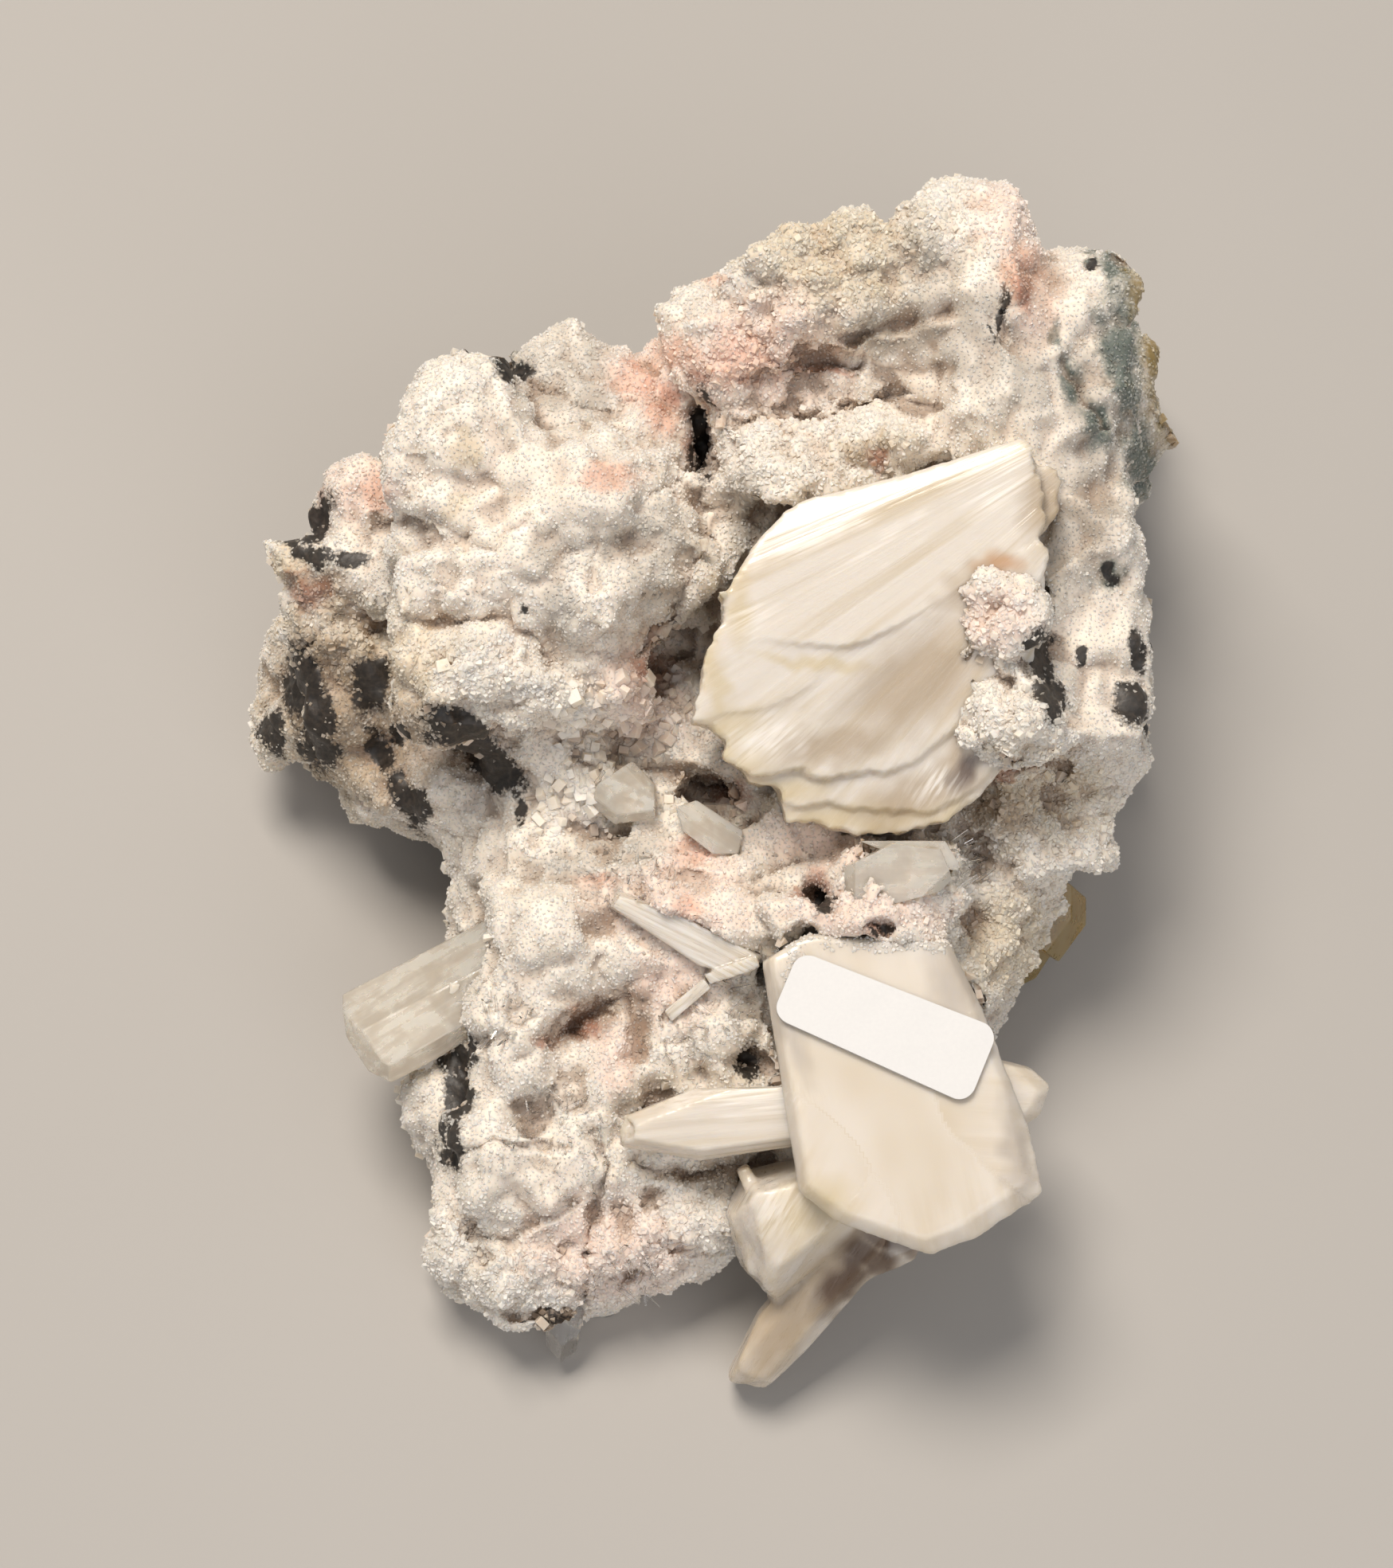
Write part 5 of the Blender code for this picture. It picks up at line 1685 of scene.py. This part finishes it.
# %% The druse pieces
FAR_SIDE_COARSER = 2.4
OVERGROWN = {
    "stilbite_block": ("crust_on_block", [(14.5, -12.9, 8.5, 1.5, -3), (7.6, -15.5, 1.0, 2.4)]),
}
BLADED = [
    (-13.5, -31.5, 4.6, 4.6), (-6.5, -8.6, 3.6, 2.0), (-8.0, -0.8, 3.2, 2.0), (3.0, -18.0, 4.0, 3.4),
    (-18.5, -19.0, 2.5, 3.0), (-2.5, -22.5, 3.0, 2.4), (21.5, -7.0, 2.6, 2.0), (-8.0, -42.5, 3.4, 2.0),
]
VALLEY = [(-8.5, 4.5, 5.0, 4.5), (-4.6, 8.0, 2.8, 2.6), (-12.5, -1.5, 3.0, 2.6), (-1.0, -2.5, 3.0, 1.6)]
KNOBS = (
    # name, patches, spacing, least and most size in millimetres
    ("coarse_crystals", COARSE, 0.8, 0.35, 0.8),
    ("valley_crystals", VALLEY, 1.0, 0.9, 1.7),
)
BLADE_SPACING = 1.15
LEAST_BLADE = 0.7
MOST_BLADE = 1.5
PATCH_SHIFT_WIDTH = 1.4
PATCH_SHIFT = 0.9
CHOSEN_DEPTH = 0.35
CHOSEN_FACING = -0.1
CHOSEN_ZONE = 0.0
NO_ZONE = 9.0


def scattered(name, source, zone, shapes, finish, spacing, least, most):
    """One piece of real grains or blades, scattered on the source. Nothing in it lies under the table."""
    piece = bpy.data.objects.new(name, source)
    bpy.context.scene.collection.objects.link(piece)
    sizes = {"Spacing": spacing * MM, "Least size": least * MM, "Most size": most * MM}
    run_tree(piece, scatter_tree, {"Zone": zone, "Shapes": shapes, "Finish": finish, **sizes})
    above_table(piece.data)
    print(name, triangles_in(piece), "triangles")
    return piece


def chosen(source, patches):
    """A copy of a mesh where only places inside the patches, on the seen side, are marked for scattering."""
    mesh = source.copy()
    facing_out = normals_of(mesh) @ np.array(FACE_OUTWARD)
    points = points_of(mesh)
    shift = wander(points / MM, PATCH_SHIFT_WIDTH, PATCH_SHIFT)
    depth = painted(seen_from(points) + shift[:, :2], patches)
    picked = (depth > CHOSEN_DEPTH) & (facing_out > CHOSEN_FACING)
    store(mesh, "zone", np.where(picked, CHOSEN_ZONE, NO_ZONE))
    return mesh


druse = []
for name, zone in DRUSE_ZONES.items():
    coarser = FAR_SIDE_COARSER if name == "druse_far_side" else 1.0
    sizes = [size * coarser for size in (GRAIN_SPACING, GRAIN_LEAST, GRAIN_MOST)]
    druse.append(scattered(name, rock.data.copy(), zone, GRAIN_SHAPES, grain_finish, *sizes))
for node, (name, patches) in OVERGROWN.items():
    marked = chosen(blades[node].data, patches)
    paint_rock(marked)
    sizes = (GRAIN_SPACING, GRAIN_LEAST, GRAIN_MOST)
    druse.append(scattered(name, marked, 0, GRAIN_SHAPES, grain_finish, *sizes))
for name, patches, spacing, least, most in KNOBS:
    marked = chosen(rock.data, patches)
    druse.append(scattered(name, marked, 0, GRAIN_SHAPES, grain_finish, spacing, least, most))
blade_sizes = (BLADE_SPACING, LEAST_BLADE, MOST_BLADE)
bladed = chosen(rock.data, BLADED)
small_blades = scattered("small_clear_blades", bladed, 0, BLADE_SHAPES, clear_zeolite, *blade_sizes)
for shape in [*GRAIN_SHAPES.objects, *BLADE_SHAPES.objects]:
    bpy.data.objects.remove(shape)

# %% [markdown]
# ## The blank sticker
# A collector's paper sticker with round corners lies on the large crystal. It is left blank. Real paper
# is never quite flat: a fine grid with rounded corners is bent by a fraction of a millimetre and given
# its thickness. Its underside reaches down to the crystal, as glue does.

# %% The blank sticker
STICKER_LENGTH = 17.8
STICKER_WIDTH = 6.4
STICKER_CORNER = 1.4
STICKER_PLACE = (14.2, -20.0, 14.75)
STICKER_TILT_DEG = 11.3
STICKER_TURN_DEG = 23.0
STICKER_THICKNESS = 0.55
STICKER_FLARE = 0.07
STICKER_SQUARES = (72, 26)
PAPER_SAG = 0.05
PAPER_SAG_WIDTH = 3.0
PAPER_FIBRE_MM = 0.3
PAPER_TOOTH_MM = 0.03
PAPER_WHITE = "#DCDBD9"
PAPER_SHADE = "#D4D3D2"


def make_sticker():
    """The sticker: a grid with rounded corners, bent a little, laid on the crystal and made solid."""
    bm = bmesh.new()
    bmesh.ops.create_grid(bm, x_segments=STICKER_SQUARES[0], y_segments=STICKER_SQUARES[1], size=0.5)
    for vertex in bm.verts:
        x, y = vertex.co.x * STICKER_LENGTH, vertex.co.y * STICKER_WIDTH
        over_x = abs(x) - (STICKER_LENGTH / 2 - STICKER_CORNER)
        over_y = abs(y) - (STICKER_WIDTH / 2 - STICKER_CORNER)
        if over_x > 0 and over_y > 0:
            inward = max(over_x, over_y) / math.hypot(over_x, over_y)
            x -= math.copysign(over_x * (1 - inward), x)
            y -= math.copysign(over_y * (1 - inward), y)
        y *= 1 + STICKER_FLARE * x / (STICKER_LENGTH / 2)
        sag = PAPER_SAG * noise.noise(Vector((x, y, 0)) / PAPER_SAG_WIDTH)
        vertex.co = (x * MM, y * MM, sag * MM)
    tilt = Matrix.Rotation(math.radians(-STICKER_TILT_DEG), 4, "X")
    turn = Matrix.Rotation(math.radians(-STICKER_TURN_DEG), 4, "Z")
    lie = tilt @ turn
    bm.transform(FACE_TO_TABLE @ Matrix.Translation(Vector(STICKER_PLACE) * MM) @ lie)
    mesh = bpy.data.meshes.new("blank_sticker")
    bm.to_mesh(mesh)
    bm.free()
    sticker = bpy.data.objects.new("blank_sticker", mesh)
    bpy.context.scene.collection.objects.link(sticker)
    body = sticker.modifiers.new("paper", "SOLIDIFY")
    body.thickness = STICKER_THICKNESS * MM
    body.offset = -1.0
    settle(sticker)
    finish, tree = new_material("matt label paper")
    place = add_node(tree, "ShaderNodeTexCoord").outputs["Object"]
    fibres = add_node(
        tree, "ShaderNodeTexNoise", {"Vector": place, "Scale": 1 / (PAPER_FIBRE_MM * MM), "Detail": 4.0}
    )
    tint = add_node(
        tree, "ShaderNodeMix", {0: fibres, 6: linear(PAPER_WHITE), 7: linear(PAPER_SHADE)}, data_type="RGBA"
    )
    bump = add_node(
        tree, "ShaderNodeBump", {"Strength": 0.25, "Distance": PAPER_TOOTH_MM * MM, "Height": fibres}
    )
    paper = add_node(
        tree, "ShaderNodeBsdfPrincipled", {"Base Color": tint, "Roughness": 0.7, "Normal": bump}
    )
    add_node(tree, "ShaderNodeOutputMaterial", {"Surface": paper})
    sticker.data.materials.append(finish)
    print("sticker:", triangles_in(sticker), "triangles")
    return sticker


sticker = make_sticker()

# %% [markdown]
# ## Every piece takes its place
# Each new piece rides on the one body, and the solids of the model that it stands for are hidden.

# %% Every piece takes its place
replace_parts(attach(rock, "root"), "matrix")
for piece in druse:
    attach(piece, "root")
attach(small_blades, "root")
for node, piece in blades.items():
    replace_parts(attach(piece, "root"), node)
for node, piece in clear_pieces.items():
    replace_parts(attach(piece, "root"), node)
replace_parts(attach(sticker, "root"), "label")
total = sum(triangles_in(piece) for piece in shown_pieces())
